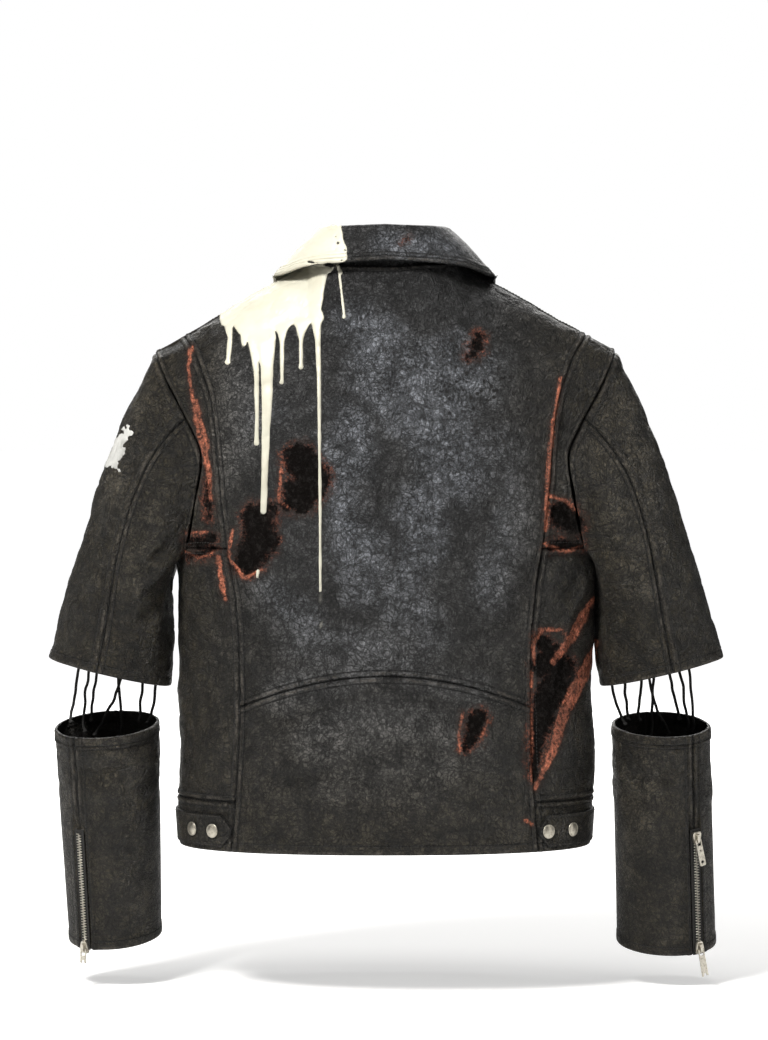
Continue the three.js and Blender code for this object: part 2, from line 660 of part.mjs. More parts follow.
// Local axes: x across the zip, y up along it, z out. turned puts the wide end down.
function sliderGeometry(turned) {
  const w = SLIDER.wide / 2;
  const n = SLIDER.narrow / 2;
  const h = SLIDER.length / 2;
  const flip = turned ? -1 : 1;
  const body = flatPlate([[-w + 1, h], [-w, h - 2], [-w, h - 4], [-n, -h + 1.5], [-n + 1.2, -h],
    [n - 1.2, -h], [n, -h + 1.5], [w, h - 4], [w, h - 2], [w - 1, h]].map(([x, y]) => [x, y * flip]),
  SLIDER.thick);
  const b = BRIDGE;
  const arch = outline([[-b.half, 2.2], [b.half, 2.2], [b.half - 0.7, b.height], [0.7 - b.half, b.height]]);
  const slot = outline([[-b.slot, b.slotLow], [b.slot, b.slotLow], [b.slot, b.slotHigh],
    [-b.slot, b.slotHigh]]);
  const across = (shape, width) => new THREE.ExtrudeGeometry(shape, { depth: width, bevelEnabled: false })
    .translate(0, 0, -width / 2).rotateZ(Math.PI / 2).rotateY(Math.PI / 2);
  const bridge = solidOf(across(arch, b.width)).subtract(solidOf(across(slot, b.width + 1)));
  return geometryOf(solidOf(body).add(bridge));
}

// The hinge bar lies on the local x axis; the tab hangs towards -y.
function pullGeometry({ length, half, holes, notch }) {
  const frame = flatPlate([[-LOOP.outer, -0.2], [-LOOP.outer, -LOOP.reach - 1.4],
    [LOOP.outer, -LOOP.reach - 1.4], [LOOP.outer, -0.2]], PULL_THICK);
  const gap = flatPlate([[-LOOP.inner, 1], [-LOOP.inner, -LOOP.reach], [LOOP.inner, -LOOP.reach],
    [LOOP.inner, 1]], PULL_THICK + 1).translate(0, 0, -0.5);
  const top = -LOOP.reach - 1;
  const foot = notch
    ? [[-half, -length], [-half * 0.5, -length], [-half * 0.35, 3 - length], [half * 0.35, 3 - length],
      [half * 0.5, -length], [half, -length]]
    : [[-half, 1 - length], [1 - half, -length], [half - 1, -length], [half, 1 - length]];
  const plate = flatPlate([[-LOOP.outer, top], ...foot, [LOOP.outer, top]], PULL_THICK, holes);
  const bar = new THREE.CylinderGeometry(BAR.radius, BAR.radius, LOOP.outer * 2 - 0.4, 8)
    .rotateZ(Math.PI / 2).translate(0, 0, PULL_THICK / 2);
  const loop = solidOf(frame).subtract(solidOf(gap)).add(solidOf(bar));
  return geometryOf(loop.add(solidOf(plate))).translate(0, 0, -PULL_THICK / 2);
}

// slant is how far the tab swings to the right in its own plane, in degrees; a lying tab rests
// along the zip, where the chest slopes out below it, and the others hang plumb.
const pulls = {
  left_bottom: { length: 14, half: 3.6, holes: [], notch: true, slant: 0 },
  right_top: { length: 27, half: 3.7, holes: [{ y: -11.5, rx: 0.9, ry: 1.1 }, { y: -23, rx: 2, ry: 1.5 }],
    notch: false, slant: 14 },
  right_bottom: { length: 28, half: 3.8, holes: [], notch: true, slant: 12 },
  front: { length: 27, half: 3.7, holes: [{ y: -23, rx: 2, ry: 1.5 }], notch: false, slant: 0,
    lying: true },
};

function addSlider(name, frame, turned) {
  const slider = addNode(`slider_${name}`, sliderGeometry(turned), metal);
  layOnSurface(slider, frame.origin, frame.across, frame.up, frame.out);
  const level = vec(frame.across.x, frame.across.y, 0).normalize();
  const slant = radians(pulls[name].slant);
  const axis = level.clone().multiplyScalar(Math.cos(slant)).add(vec(0, 0, Math.sin(slant)));
  const hang = pulls[name].lying ? frame.up
    : level.clone().multiplyScalar(-Math.sin(slant)).add(vec(0, 0, Math.cos(slant)));
  const pin = frame.origin.clone().addScaledVector(frame.up, BAR.up).addScaledVector(frame.out, BAR.height);
  const pull = addNode(`pull_${name}`, pullGeometry(pulls[name]), metal);
  layOnSurface(pull, pin, axis, hang, axis.clone().cross(hang));
}

for (const [name, zip] of Object.entries(zips)) {
  const { arm } = zip;
  const strip = (half, from, to) => zipStrip(arm, half, from, to);
  const topSlider = zip.sliders.find((s) => s.end === 'top');
  const chainFrom = topSlider ? topSlider.t + 0.03 : zip.from + 0.01;
  addNode(`zip_tape_${name}`,
    layeredGeometry(strip(TAPE.half, zip.from - 0.01, 1), arm.side, TAPE.low, TAPE.high), tapeCloth);
  addNode(`zip_chain_${name}`,
    layeredGeometry(strip(CHAIN.half, chainFrom, zip.chainTo), arm.side, CHAIN.low, CHAIN.high), metal);
  for (const { end, t } of zip.sliders) {
    addSlider(`${name}_${end}`, zipFrame(arm, t, TAPE.high + 0.3), end === 'bottom');
  }
}

// ---------- front zip, in the slot between the fronts ----------
const FRONT_TAPE_HALF = 13;
const FRONT_SLIDER_Z = -74;

function frontStrip(half, zLow, zHigh) {
  const heights = frontRows.map(({ g, z }) => lerp(z, frontNeckZ(ZIP_SLOT), g));
  const rows = [zLow, ...heights.filter((z) => z > zLow + 4 && z < zHigh - 4), zHigh];
  return rows.map((z) => [half, 0, -half].map((x) => frontPoint(x, z)));
}

addNode('front_zip_tape',
  layeredGeometry(frontStrip(FRONT_TAPE_HALF, HEM_Z, -58), 1, -WALL - 2.2, -WALL - 1.2), tapeCloth);
addNode('front_zip_chain',
  layeredGeometry(frontStrip(CHAIN.half, HEM_Z, FRONT_SLIDER_Z - 8), 1, -WALL - 0.9, -0.8), metal);

const seat = frontPoint(0, FRONT_SLIDER_Z);
const seatUp = frontPoint(0, FRONT_SLIDER_Z + 3).sub(frontPoint(0, FRONT_SLIDER_Z - 3)).normalize();
const seatOut = vec(-1, 0, 0).cross(seatUp);
addSlider('front', { origin: seat.addScaledVector(seatOut, -WALL - 0.6), across: vec(-1, 0, 0),
  up: seatUp, out: seatOut }, false);

// ---------- laces between the sleeve stumps and the forearms ----------
// Each route runs from inside the sleeve's front wall to inside the forearm's front wall.
const laces = {
  left: [
    [[-308, 37, -396], [-313, 24, -428], [-316, 16, -448]],
    [[-299, 43, -398], [-302, 33, -430], [-303, 25, -458]],
    [[-291, 46, -400], [-294, 35, -428], [-296, 28, -447]],
    [[-272, 48, -403], [-268, 36, -428], [-266, 28, -463]],
    [[-264, 40, -405], [-272, 29, -430], [-289, 24, -462]],
    [[-243, 40, -409], [-246, 29, -429], [-246, 21, -447]],
    [[-232, 31, -410], [-231, 18, -430], [-235, 9, -449]],
  ],
  right: [
    [[228, 25, -410], [230, 18, -430], [237, 11, -450]],
    [[243, 39, -409], [243, 27, -428], [243, 18, -446]],
    [[260, 46, -406], [258, 35, -428], [256, 26, -447]],
    [[266, 38, -404], [270, 29, -430], [283, 25, -460]],
    [[273, 49, -403], [271, 37, -428], [268, 27, -463]],
    [[286, 47, -401], [292, 34, -428], [296, 26, -446]],
    [[296, 43, -399], [302, 28, -428], [305, 20, -455]],
    [[306, 37, -397], [310, 22, -428], [311, 13, -455]],
  ],
};

const laceSection = outline(Array.from({ length: 8 }, (_, k) => {
  const a = (k / 8) * Math.PI * 2;
  return [Math.cos(a) * (LACE_DIAMETER / 2), Math.sin(a) * (LACE_DIAMETER / 2)];
}));

for (const [name, routes] of Object.entries(laces)) {
  routes.forEach((route, k) => {
    const path = new THREE.CatmullRomCurve3(route.map((p) => vec(...p)));
    const steps = Math.ceil(path.getLength() / (LACE_DIAMETER * 3));
    const geometry = new THREE.ExtrudeGeometry(laceSection, { extrudePath: path, steps, bevelEnabled: false });
    addNode(`lace_${name}_${k + 1}`, geometry, cordCloth);
  });
}

export default jacket;
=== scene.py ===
# %% [markdown]
# # Worn leather biker jacket
# The jacket stands filled out with no wearer. A packed construction model gives every panel's
# true size and place; this script dresses it. Each leather panel becomes a thin shell that
# follows the same cut, with its seams, creases, burns and paint worked into the surface.

# %% The frame
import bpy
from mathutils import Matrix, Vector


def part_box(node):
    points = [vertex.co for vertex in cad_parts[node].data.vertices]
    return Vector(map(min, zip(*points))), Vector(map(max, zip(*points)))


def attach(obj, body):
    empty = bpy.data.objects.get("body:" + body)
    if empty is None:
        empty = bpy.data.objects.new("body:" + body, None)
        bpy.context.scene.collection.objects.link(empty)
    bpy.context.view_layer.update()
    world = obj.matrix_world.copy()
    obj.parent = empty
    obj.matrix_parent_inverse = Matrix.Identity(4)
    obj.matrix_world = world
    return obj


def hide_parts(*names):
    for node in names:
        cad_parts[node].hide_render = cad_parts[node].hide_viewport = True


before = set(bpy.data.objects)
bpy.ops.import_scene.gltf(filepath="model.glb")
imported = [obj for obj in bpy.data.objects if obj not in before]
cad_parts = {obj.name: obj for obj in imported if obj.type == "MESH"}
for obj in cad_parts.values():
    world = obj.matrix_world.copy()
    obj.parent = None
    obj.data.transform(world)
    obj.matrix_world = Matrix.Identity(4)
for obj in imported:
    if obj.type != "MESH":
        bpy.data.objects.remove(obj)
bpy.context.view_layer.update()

import math
import bpy
import numpy as np
from mathutils import Vector

MM = 0.001

# %% [markdown]
# ## Camera, floor and light
# A garment on a white sweep is lit by one broad soft light from above the camera and weaker
# ones at the sides. Leather shows its grain in the reflections, so the lights are large and
# a little warm, and the leather itself stays dark.

# %% Camera
AIM_HEIGHT = -252 * MM
CAMERA_FAR = 4.0
CAMERA_RISE = math.radians(2)
FIELD_HEIGHT = 1.04
SENSOR_HEIGHT = 36


def turned_to(place, aim):
    """The rotation of a camera or a light at a place that looks at its aim."""
    return (Vector(aim) - Vector(place)).to_track_quat("-Z", "Y").to_euler()


def add_camera():
    data = bpy.data.cameras.new("camera")
    data.sensor_fit = "VERTICAL"
    data.sensor_height = SENSOR_HEIGHT
    data.lens = SENSOR_HEIGHT * CAMERA_FAR / FIELD_HEIGHT
    data.clip_end = 60
    camera = bpy.data.objects.new("camera", data)
    camera.location = (-1 * MM, -CAMERA_FAR * math.cos(CAMERA_RISE),
                       AIM_HEIGHT + CAMERA_FAR * math.sin(CAMERA_RISE))
    camera.rotation_euler = turned_to(camera.location, (-1 * MM, 0, AIM_HEIGHT))
    bpy.context.scene.collection.objects.link(camera)
    bpy.context.scene.camera = camera


add_camera()
print("camera", CAMERA_FAR, "m away")

# %% Floor and world
FLOOR_HEIGHT = -722 * MM
FLOOR_REACH = 30
GLOW_NEAR, GLOW_FAR = (0.7, 0.34), (2.2, 1.0)
ROOM_LIGHT = 0.03


def simple_material(name, color, roughness):
    material = bpy.data.materials.new(name)
    material.use_nodes = True
    shader = material.node_tree.nodes["Principled BSDF"]
    shader.inputs["Base Color"].default_value = (*color, 1)
    shader.inputs["Roughness"].default_value = roughness
    return material


def floor_material():
    """A pale sweep that glows a little more for the camera the farther it runs."""
    material = simple_material("pale_floor", (0.9, 0.9, 0.9), 0.9)
    nodes, links = material.node_tree.nodes, material.node_tree.links
    shader = nodes["Principled BSDF"]
    far = nodes.new("ShaderNodeVectorMath")
    far.operation = "LENGTH"
    links.new(nodes.new("ShaderNodeTexCoord").outputs["Object"], far.inputs[0])
    grow = nodes.new("ShaderNodeMapRange")
    for end, (distance, strength) in (("Min", GLOW_NEAR), ("Max", GLOW_FAR)):
        grow.inputs["From " + end].default_value = distance
        grow.inputs["To " + end].default_value = strength
    links.new(far.outputs["Value"], grow.inputs["Value"])
    glow = nodes.new("ShaderNodeMath")
    glow.operation = "MULTIPLY"
    links.new(grow.outputs["Result"], glow.inputs[1])
    links.new(nodes.new("ShaderNodeLightPath").outputs["Is Camera Ray"], glow.inputs[0])
    links.new(glow.outputs[0], shader.inputs["Emission Strength"])
    shader.inputs["Emission Color"].default_value = (1, 1, 1, 1)
    shader.inputs["Specular IOR Level"].default_value = 0
    return material


def add_floor():
    mesh = bpy.data.meshes.new("floor")
    corners = [(-1, -1), (1, -1), (1, 1), (-1, 1)]
    mesh.from_pydata([(x * FLOOR_REACH, y * FLOOR_REACH, FLOOR_HEIGHT) for x, y in corners],
                     [], [(0, 1, 2, 3)])
    floor = bpy.data.objects.new("floor", mesh)
    floor.data.materials.append(floor_material())
    bpy.context.scene.collection.objects.link(floor)


def add_world():
    """White to the camera, and a weak bluish light to everything else."""
    world = bpy.data.worlds.new("studio")
    world.use_nodes = True
    nodes, links = world.node_tree.nodes, world.node_tree.links
    nodes.clear()
    out = nodes.new("ShaderNodeOutputWorld")
    mix = nodes.new("ShaderNodeMixShader")
    path = nodes.new("ShaderNodeLightPath")
    lit = nodes.new("ShaderNodeBackground")
    lit.inputs["Color"].default_value = (0.95, 0.97, 1, 1)
    lit.inputs["Strength"].default_value = ROOM_LIGHT
    seen = nodes.new("ShaderNodeBackground")
    seen.inputs["Color"].default_value = (1, 1, 1, 1)
    links.new(path.outputs["Is Camera Ray"], mix.inputs["Fac"])
    links.new(lit.outputs[0], mix.inputs[1])
    links.new(seen.outputs[0], mix.inputs[2])
    links.new(mix.outputs[0], out.inputs["Surface"])
    bpy.context.scene.world = world


bpy.context.scene.view_settings.view_transform = "Standard"
add_world()
add_floor()
print("floor at", FLOOR_HEIGHT, "m")

# %% Lights: name, place, height of the aim, size, power in watts, colour
LIGHTS = [
    ("key", (-1.1, -1.9, 2.0), -0.25, (0.8, 0.6), 150, (1.0, 0.985, 0.955)),
    ("soft_front", (0.4, -3.4, 0.6), -0.3, (2.4, 1.6), 7, (1.0, 0.99, 0.97)),
    ("left_fill", (-2.6, -0.9, 0.2), -0.3, (0.7, 2.0), 6, (1.0, 0.97, 0.92)),
    ("right_fill", (2.6, -0.9, 0.3), -0.3, (0.7, 2.0), 8, (1.0, 0.97, 0.92)),
    ("top", (0, -0.2, 2.4), -0.3, (1.6, 1.0), 30, (1.0, 0.99, 0.97)),
    ("far_side", (0, 3.2, 0.9), -0.3, (2.4, 2.0), 60, (1.0, 0.99, 0.97)),
]
for name, place, aim, size, power, color in LIGHTS:
    data = bpy.data.lights.new(name, "AREA")
    data.shape = "RECTANGLE"
    data.size, data.size_y = size
    data.energy = power
    data.color = color
    light = bpy.data.objects.new(name, data)
    light.location = place
    light.rotation_euler = turned_to(place, (0, 0, aim))
    bpy.context.scene.collection.objects.link(light)
print(len(LIGHTS), "area lights")

# %% [markdown]
# ## Laces
# The forearms hang from the sleeve stumps on thin black cords. A cord has a fixed length, so
# each is one smooth curve with its real diameter, from inside the sleeve to inside the forearm.

# %% Lace routes, in millimetres
LACE_DIAMETER = 3
LACES = {
    "left": [
        [[-308, 37, -396], [-313, 24, -428], [-316, 16, -448]],
        [[-299, 43, -398], [-302, 33, -430], [-303, 25, -458]],
        [[-291, 46, -400], [-294, 35, -428], [-296, 28, -447]],
        [[-272, 48, -403], [-268, 36, -428], [-266, 28, -463]],
        [[-264, 40, -405], [-272, 29, -430], [-289, 24, -462]],
        [[-243, 40, -409], [-246, 29, -429], [-246, 21, -447]],
        [[-232, 31, -410], [-231, 18, -430], [-235, 9, -449]],
    ],
    "right": [
        [[228, 25, -410], [230, 18, -430], [237, 11, -450]],
        [[243, 39, -409], [243, 27, -428], [243, 18, -446]],
        [[260, 46, -406], [258, 35, -428], [256, 26, -447]],
        [[266, 38, -404], [270, 29, -430], [283, 25, -460]],
        [[273, 49, -403], [271, 37, -428], [268, 27, -463]],
        [[286, 47, -401], [292, 34, -428], [296, 26, -446]],
        [[296, 43, -399], [302, 28, -428], [305, 20, -455]],
        [[306, 37, -397], [310, 22, -428], [311, 13, -455]],
    ],
}

# %% [markdown]
# ## The cut of the body
# A jacket body is a tube of oval sections that closes to a ridge at each shoulder. Its outline
# is drawn with smooth curves through a few stations, so every seam line is a formula, and a
# panel is a sheet of points between its seams. The same few sizes shape the whole garment.

# %% Sizes of the cut, in millimetres
SECTION_POWER = 2.3
CURVE_START = -210
NECK_HALF = 75
NECK_POINT_Z = 4
OVER_NECK_Z = 60
SHOULDER_SLOPE = 0.576
TIP_HALF = 229
YOKE_HALF = 200
FRONT_NECK_DROP = 60
GUSSET_Z = -277
BACK_ARM_Z = -278
FRONT_ARM_Z = -275
ARMPIT_DROP = 13
WAIST_EDGE_Z = -433
WAIST_RISE = 32
WAIST_HALF = 144
BAND_Z = -526
HEM_Z = -575
ZIP_SLOT = 5.5
SLEEVE_HEM_CENTRE = np.array([276.5, 0, -403.5])
SLEEVE_HEM_RADIUS = (63, 58)
SLEEVE_AXIS = np.array([0.229, 0, -0.973])


def lerp(a, b, t):
    return a + (b - a) * t


def stations(pairs):
    """A smooth curve through (key, value) stations."""
    keys, values = (np.array(column, float) for column in zip(*pairs))
    slopes = np.empty(len(keys))
    slopes[1:-1] = (values[2:] - values[:-2]) / (keys[2:] - keys[:-2])
    slopes[0] = (values[1] - values[0]) / (keys[1] - keys[0])
    slopes[-1] = (values[-1] - values[-2]) / (keys[-1] - keys[-2])

    def curve(key):
        i = np.clip(np.searchsorted(keys, key, "right") - 1, 0, len(keys) - 2)
        span = keys[i + 1] - keys[i]
        t = np.clip((key - keys[i]) / span, 0, 1)
        rest = 1 - t
        return (values[i] * (1 + 2 * t) * rest**2 + slopes[i] * span * t * rest**2
                + values[i + 1] * t**2 * (3 - 2 * t) - slopes[i + 1] * span * t**2 * rest)

    return curve


half_width = stations([(-576, 205), (-520, 208), (-400, 207), (-290, 209), (-230, 213),
                       (-190, 216), (-156, 222), (-120, 245), (-88, 290), (-40, 340), (80, 420)])
back_depth = stations([(-576, 117), (-480, 113), (-380, 108), (-280, 114), (-200, 117),
                       (-100, 116), (100, 116)])
front_depth = stations([(-576, 113), (-480, 110), (-380, 106), (-280, 112), (-200, 114),
                        (-100, 110), (100, 104)])
princess_x = stations([(-580, 151), (-523, 147), (-453, 143), (-367, 144), (-332, 147),
                       (-277, 155), (-218, 162), (-139, 170), (-89, 186), (-68, YOKE_HALF)])
armhole_back_x = stations([(BACK_ARM_Z, 196), (-226, 186), (-188, 181), (-157, 193),
                           (-118, 214), (-84.7, TIP_HALF)])
armhole_front_x = stations([(FRONT_ARM_Z, 194), (-226, 182), (-188, 176), (-157, 187),
                            (-118, 211), (-84.7, TIP_HALF)])
front_side_x = stations([(-576, 176), (-400, 178), (FRONT_ARM_Z, 194)])
print("hem girth about", round(2 * math.pi * math.hypot(205, 115) / math.sqrt(2)), "mm")

# %% Body surface


def ridge_z(x):
    """Height of the shoulder line, which rises to a low arch over the neck."""
    ax = np.abs(x)
    over_neck = OVER_NECK_Z - (OVER_NECK_Z - NECK_POINT_Z) * (ax / NECK_HALF) ** 2
    return np.where(ax < NECK_HALF, over_neck, NECK_POINT_Z - SHOULDER_SLOPE * (ax - NECK_HALF))


def body_depth(x, z, depth):
    """How far the body stands out from its middle plane, on the side that depth describes."""
    t = np.minimum(np.abs(x) / half_width(z), 1)
    rise = np.clip((z - CURVE_START) / (ridge_z(x) - CURVE_START), 0, 1)
    top = np.where(rise > 0.9999, 0, np.sqrt(1 - np.minimum(rise, 1) ** 2))
    return depth(z) * (1 - t**SECTION_POWER) ** (1 / SECTION_POWER) * top


def points(x, y, z):
    return np.stack(np.broadcast_arrays(np.asarray(x, float), y, z), -1)


def back_point(x, z):
    return points(x, -body_depth(x, z, back_depth), z)


def front_point(x, z):
    return points(x, body_depth(x, z, front_depth), z)


def section_angle(x, z):
    return np.arcsin(np.minimum(x / half_width(z), 1) ** (SECTION_POWER / 2))


def section_point(angle, z):
    """A point of a body section: angle 0 is centre back, a half turn is centre front."""
    across = np.sin(angle) ** (2 / SECTION_POWER)
    deep = np.abs(np.cos(angle)) ** (2 / SECTION_POWER)
    depth = np.where(np.cos(angle) > 0, -back_depth(z), front_depth(z))
    return points(half_width(z) * across, depth * deep, z)


def waist_z(x):
    return WAIST_EDGE_Z + WAIST_RISE * (1 - np.minimum(np.abs(x) / WAIST_HALF, 1) ** 2)


def back_neck_z(x):
    return NECK_POINT_Z * (x / NECK_HALF) ** 2


def front_neck_z(x):
    return NECK_POINT_Z - FRONT_NECK_DROP * np.maximum(1 - (x / NECK_HALF) ** 2, 0) ** 0.8


# %% Panels of the body, each a function of (across, up), both from 0 to 1
SHOULDER_Z = float(ridge_z(YOKE_HALF))
TIP_Z = float(ridge_z(TIP_HALF))


def seam_height(low, t):
    """Height on the princess seam, closing up towards the shoulder like the dome it lies on."""
    straight = CURVE_START - low
    arc = (SHOULDER_Z - CURVE_START) * 1.2
    travel = t * (straight + arc)
    turn = np.clip((travel - straight) / arc, 0, 1) * math.pi / 2
    return np.where(travel < straight, low + travel,
                    lerp(CURVE_START, SHOULDER_Z, np.sin(turn)))


def back_centre(s, t):
    share = 2 * s - 1
    z_seam = seam_height(WAIST_EDGE_Z, t)
    x_top = share * YOKE_HALF
    z_top = np.where(np.abs(x_top) < NECK_HALF, back_neck_z(x_top), ridge_z(x_top))
    climb = (z_seam - WAIST_EDGE_Z) / (SHOULDER_Z - WAIST_EDGE_Z)
    z = lerp(waist_z(share * WAIST_HALF), z_top, climb)
    return back_point(share * princess_x(z_seam), z)


def back_waist(s, t):
    share = 2 * s - 1
    z_seam = lerp(HEM_Z, WAIST_EDGE_Z, t)
    z = lerp(HEM_Z, waist_z(share * WAIST_HALF), t)
    return back_point(share * princess_x(z_seam), z)


def gusset(s, t):
    z_seam = seam_height(GUSSET_Z, t)
    z_arm = lerp(BACK_ARM_Z, TIP_Z, (z_seam - GUSSET_Z) / (SHOULDER_Z - GUSSET_Z))
    return back_point(lerp(princess_x(z_seam), armhole_back_x(z_arm), s), lerp(z_seam, z_arm, s))


PANEL_START = float(section_angle(princess_x(GUSSET_Z), GUSSET_Z))
UNDERARM_START = float(section_angle(armhole_back_x(BACK_ARM_Z), BACK_ARM_Z))
UNDERARM_END = math.pi - float(section_angle(armhole_front_x(FRONT_ARM_Z), FRONT_ARM_Z))


def underarm_z(w):
    return lerp(BACK_ARM_Z, FRONT_ARM_Z, w) - ARMPIT_DROP * np.sin(math.pi * w)


def side_column(s, z_seam, z):
    first = section_angle(princess_x(z_seam), z)
    last = math.pi - section_angle(front_side_x(z), z)
    return lerp(first, last, s)


def side_panel(s, t):
    top_angle = lerp(PANEL_START, UNDERARM_END, s)
    w = np.clip((top_angle - UNDERARM_START) / (UNDERARM_END - UNDERARM_START), 0, 1)
    top_z = underarm_z(w)
    z = lerp(BAND_Z, top_z, t)
    settled = np.minimum((1 - t) * 8, 1)
    angle = lerp(top_angle, side_column(s, lerp(BAND_Z, GUSSET_Z, t), z), settled)
    return section_point(angle, z)


def side_band(s, t):
    z = lerp(HEM_Z, BAND_Z, t)
    return section_point(side_column(s, z, z), z)


FRONT_STRAIGHT = FRONT_ARM_Z - HEM_Z
FRONT_UPPER = 235
FRONT_LENGTH = FRONT_STRAIGHT + FRONT_UPPER


def front(s, t):
    travel = t * FRONT_LENGTH
    upper = np.clip((travel - FRONT_STRAIGHT) / FRONT_UPPER, 0, 1)
    climb = (seam_height(GUSSET_Z, upper) - GUSSET_Z) / (SHOULDER_Z - GUSSET_Z)
    z_low = np.minimum(HEM_Z + travel, FRONT_ARM_Z)
    x_top = lerp(ZIP_SLOT, TIP_HALF, s)
    z_top = np.where(x_top < NECK_HALF, front_neck_z(x_top), ridge_z(x_top))
    z = np.where(travel < FRONT_STRAIGHT, z_low, lerp(FRONT_ARM_Z, z_top, climb))
    z_edge = np.where(travel < FRONT_STRAIGHT, z_low, lerp(FRONT_ARM_Z, TIP_Z, climb))
    edge_x = np.where(travel < FRONT_STRAIGHT, front_side_x(z_low), armhole_front_x(z_edge))
    return front_point(lerp(ZIP_SLOT, edge_x, s), z)


print("shoulder seam from", NECK_POINT_Z, "to", round(TIP_Z), "mm")

# %% [markdown]
# ## Sleeves, forearms and collar
# A sleeve starts on the armhole, a closed ring of points, and ends on its hem, a flat oval. Each
# thread of the sleeve leaves the ring outwards and arrives along the arm, which is what a Bezier
# curve does. The collar is a ring round the neck that rises to a fold and falls over the shoulders.

# %% Sleeves


def armhole_ring():
    """The armhole from the shoulder tip down the back, under the arm and up the front."""
    climb = np.sin(np.linspace(math.pi / 2, 0, 240))
    back_z = lerp(BACK_ARM_Z, TIP_Z, climb)
    w = np.linspace(0, 1, 120)[1:-1]
    front_z = lerp(FRONT_ARM_Z, TIP_Z, climb[::-1])
    under = section_point(lerp(UNDERARM_START, UNDERARM_END, w), underarm_z(w))
    return (back_point(armhole_back_x(back_z), back_z), under,
            front_point(armhole_front_x(front_z), front_z))


ring_parts = armhole_ring()
ring = np.concatenate(ring_parts)
ring_travel = np.concatenate([[0], np.cumsum(np.linalg.norm(np.diff(ring, axis=0), axis=1))])
RING_LENGTH = ring_travel[-1]


def ring_place(part, z):
    """Travel along the ring where one of its parts passes a height."""
    start = sum(len(p) for p in ring_parts[:part])
    return ring_travel[start + int(np.argmin(np.abs(ring_parts[part][:, 2] - z)))]


BACK_SEAM_TRAVEL = ring_place(0, -150.4)
FRONT_SEAM_TRAVEL = ring_place(2, -180.5)
ring_marks = [0, BACK_SEAM_TRAVEL, ring_place(0, BACK_ARM_Z), ring_place(2, FRONT_ARM_Z),
              RING_LENGTH]
hem_degrees = [0, 82, 140, 220, 360]
leave_slope = stations([(0, 25), (45, 38), (90, 52), (140, 42), (180, 6)])


def sleeve(travel, t):
    """t runs from the hem up to the armhole."""
    travel = np.mod(travel, RING_LENGTH)
    start = np.stack([np.interp(travel, ring_travel, ring[:, k]) for k in range(3)], -1)
    degrees = np.interp(travel, ring_marks, hem_degrees)
    angle = np.radians(degrees)
    across = np.array([-SLEEVE_AXIS[2], 0, SLEEVE_AXIS[0]])
    end = (SLEEVE_HEM_CENTRE + SLEEVE_HEM_RADIUS[0] * np.cos(angle)[..., None] * across
           + points(0, -SLEEVE_HEM_RADIUS[1] * np.sin(angle), 0))
    slope = np.radians(leave_slope(np.where(degrees > 180, 360 - degrees, degrees)))
    leave = points(np.sin(slope), -0.15 * np.sin(angle), -np.cos(slope))
    leave /= np.linalg.norm(leave, axis=-1, keepdims=True)
    reach = np.linalg.norm(end - start, axis=-1, keepdims=True) / 3
    first, second = start + leave * reach, end - SLEEVE_AXIS * reach
    u = (1 - t)[..., None]
    rest = 1 - u
    return rest**3 * start + 3 * rest**2 * u * first + 3 * rest * u**2 * second + u**3 * end


def under_sleeve(s, t):
    return sleeve(lerp(BACK_SEAM_TRAVEL, FRONT_SEAM_TRAVEL, s), t)


def top_sleeve(s, t):
    return sleeve(lerp(FRONT_SEAM_TRAVEL, RING_LENGTH + BACK_SEAM_TRAVEL, s), t)


print("armhole", round(RING_LENGTH), "mm round")

# %% Forearms
ZIP_ANGLE = 55
FOREARM_SEAM_ANGLE = -100
FOREARMS = {
    -1: {"top": (-278, -8, -456), "foot": (-273, 38, -674), "radius": ((52.5, 48), (47, 44))},
    1: {"top": (276, -8, -456), "foot": (285, 38, -680), "radius": ((48.5, 46), (50, 46))},
}
FOREARM_ROLL = 3
ZIP_TOP = -552


def unit(v):
    return v / np.linalg.norm(v)


def forearm_point(side, angle, t):
    """angle 0 is the outer side and 90 the back; t runs from the hem up to the rim."""
    arm = FOREARMS[side]
    top, foot = np.array(arm["top"], float), np.array(arm["foot"], float)
    axis = unit(foot - top)
    outer = unit(np.array([side, 0, 0]) - axis * axis[0] * side)
    outer = unit(outer + axis * math.tan(math.radians(FOREARM_ROLL)))
    back = unit(np.array([0, -1, 0]) + axis * axis[1])
    down = 1 - np.asarray(t, float)
    across, deep = (lerp(arm["radius"][0][k], arm["radius"][1][k], down) for k in (0, 1))
    a = np.radians(angle)
    return (top + (foot - top) * down[..., None] + (across * np.cos(a))[..., None] * outer
            + (deep * np.sin(a))[..., None] * back)


def forearm_outer(side):
    return lambda s, t: forearm_point(side, lerp(FOREARM_SEAM_ANGLE, ZIP_ANGLE, s), t)


def forearm_inner(side):
    return lambda s, t: forearm_point(side, lerp(ZIP_ANGLE, FOREARM_SEAM_ANGLE + 360, s), t)


# %% Collar
COLLAR_TURN = math.pi - math.asin(ZIP_SLOT / NECK_HALF)
COLLAR_CLEAR = 6.5
STAND_IN, STAND_DOWN = 2.4, 7
LEAF_SHARE = 0.82
COLLAR_ROLL = [(5.5, 1.2), (3.8, 2.8), (1.5, 3.6), (-0.4, 3.5), (-2, 2.8)]
collar_height = stations([(0, 37), (0.5, 32), (1, 26)])
collar_lean = stations([(0, 9), (0.5, 13), (1, 4)])
collar_edge_x = stations([(0, 0), (0.12, 41), (0.24, 76), (0.36, 100), (0.5, 111), (0.64, 107),
                          (0.76, 97), (0.88, 80), (1, 58)])
collar_edge_z = stations([(0, 6), (0.24, 1), (0.36, -6), (0.5, -11), (0.64, -40), (0.76, -72),
                          (0.88, -98), (1, -118)])


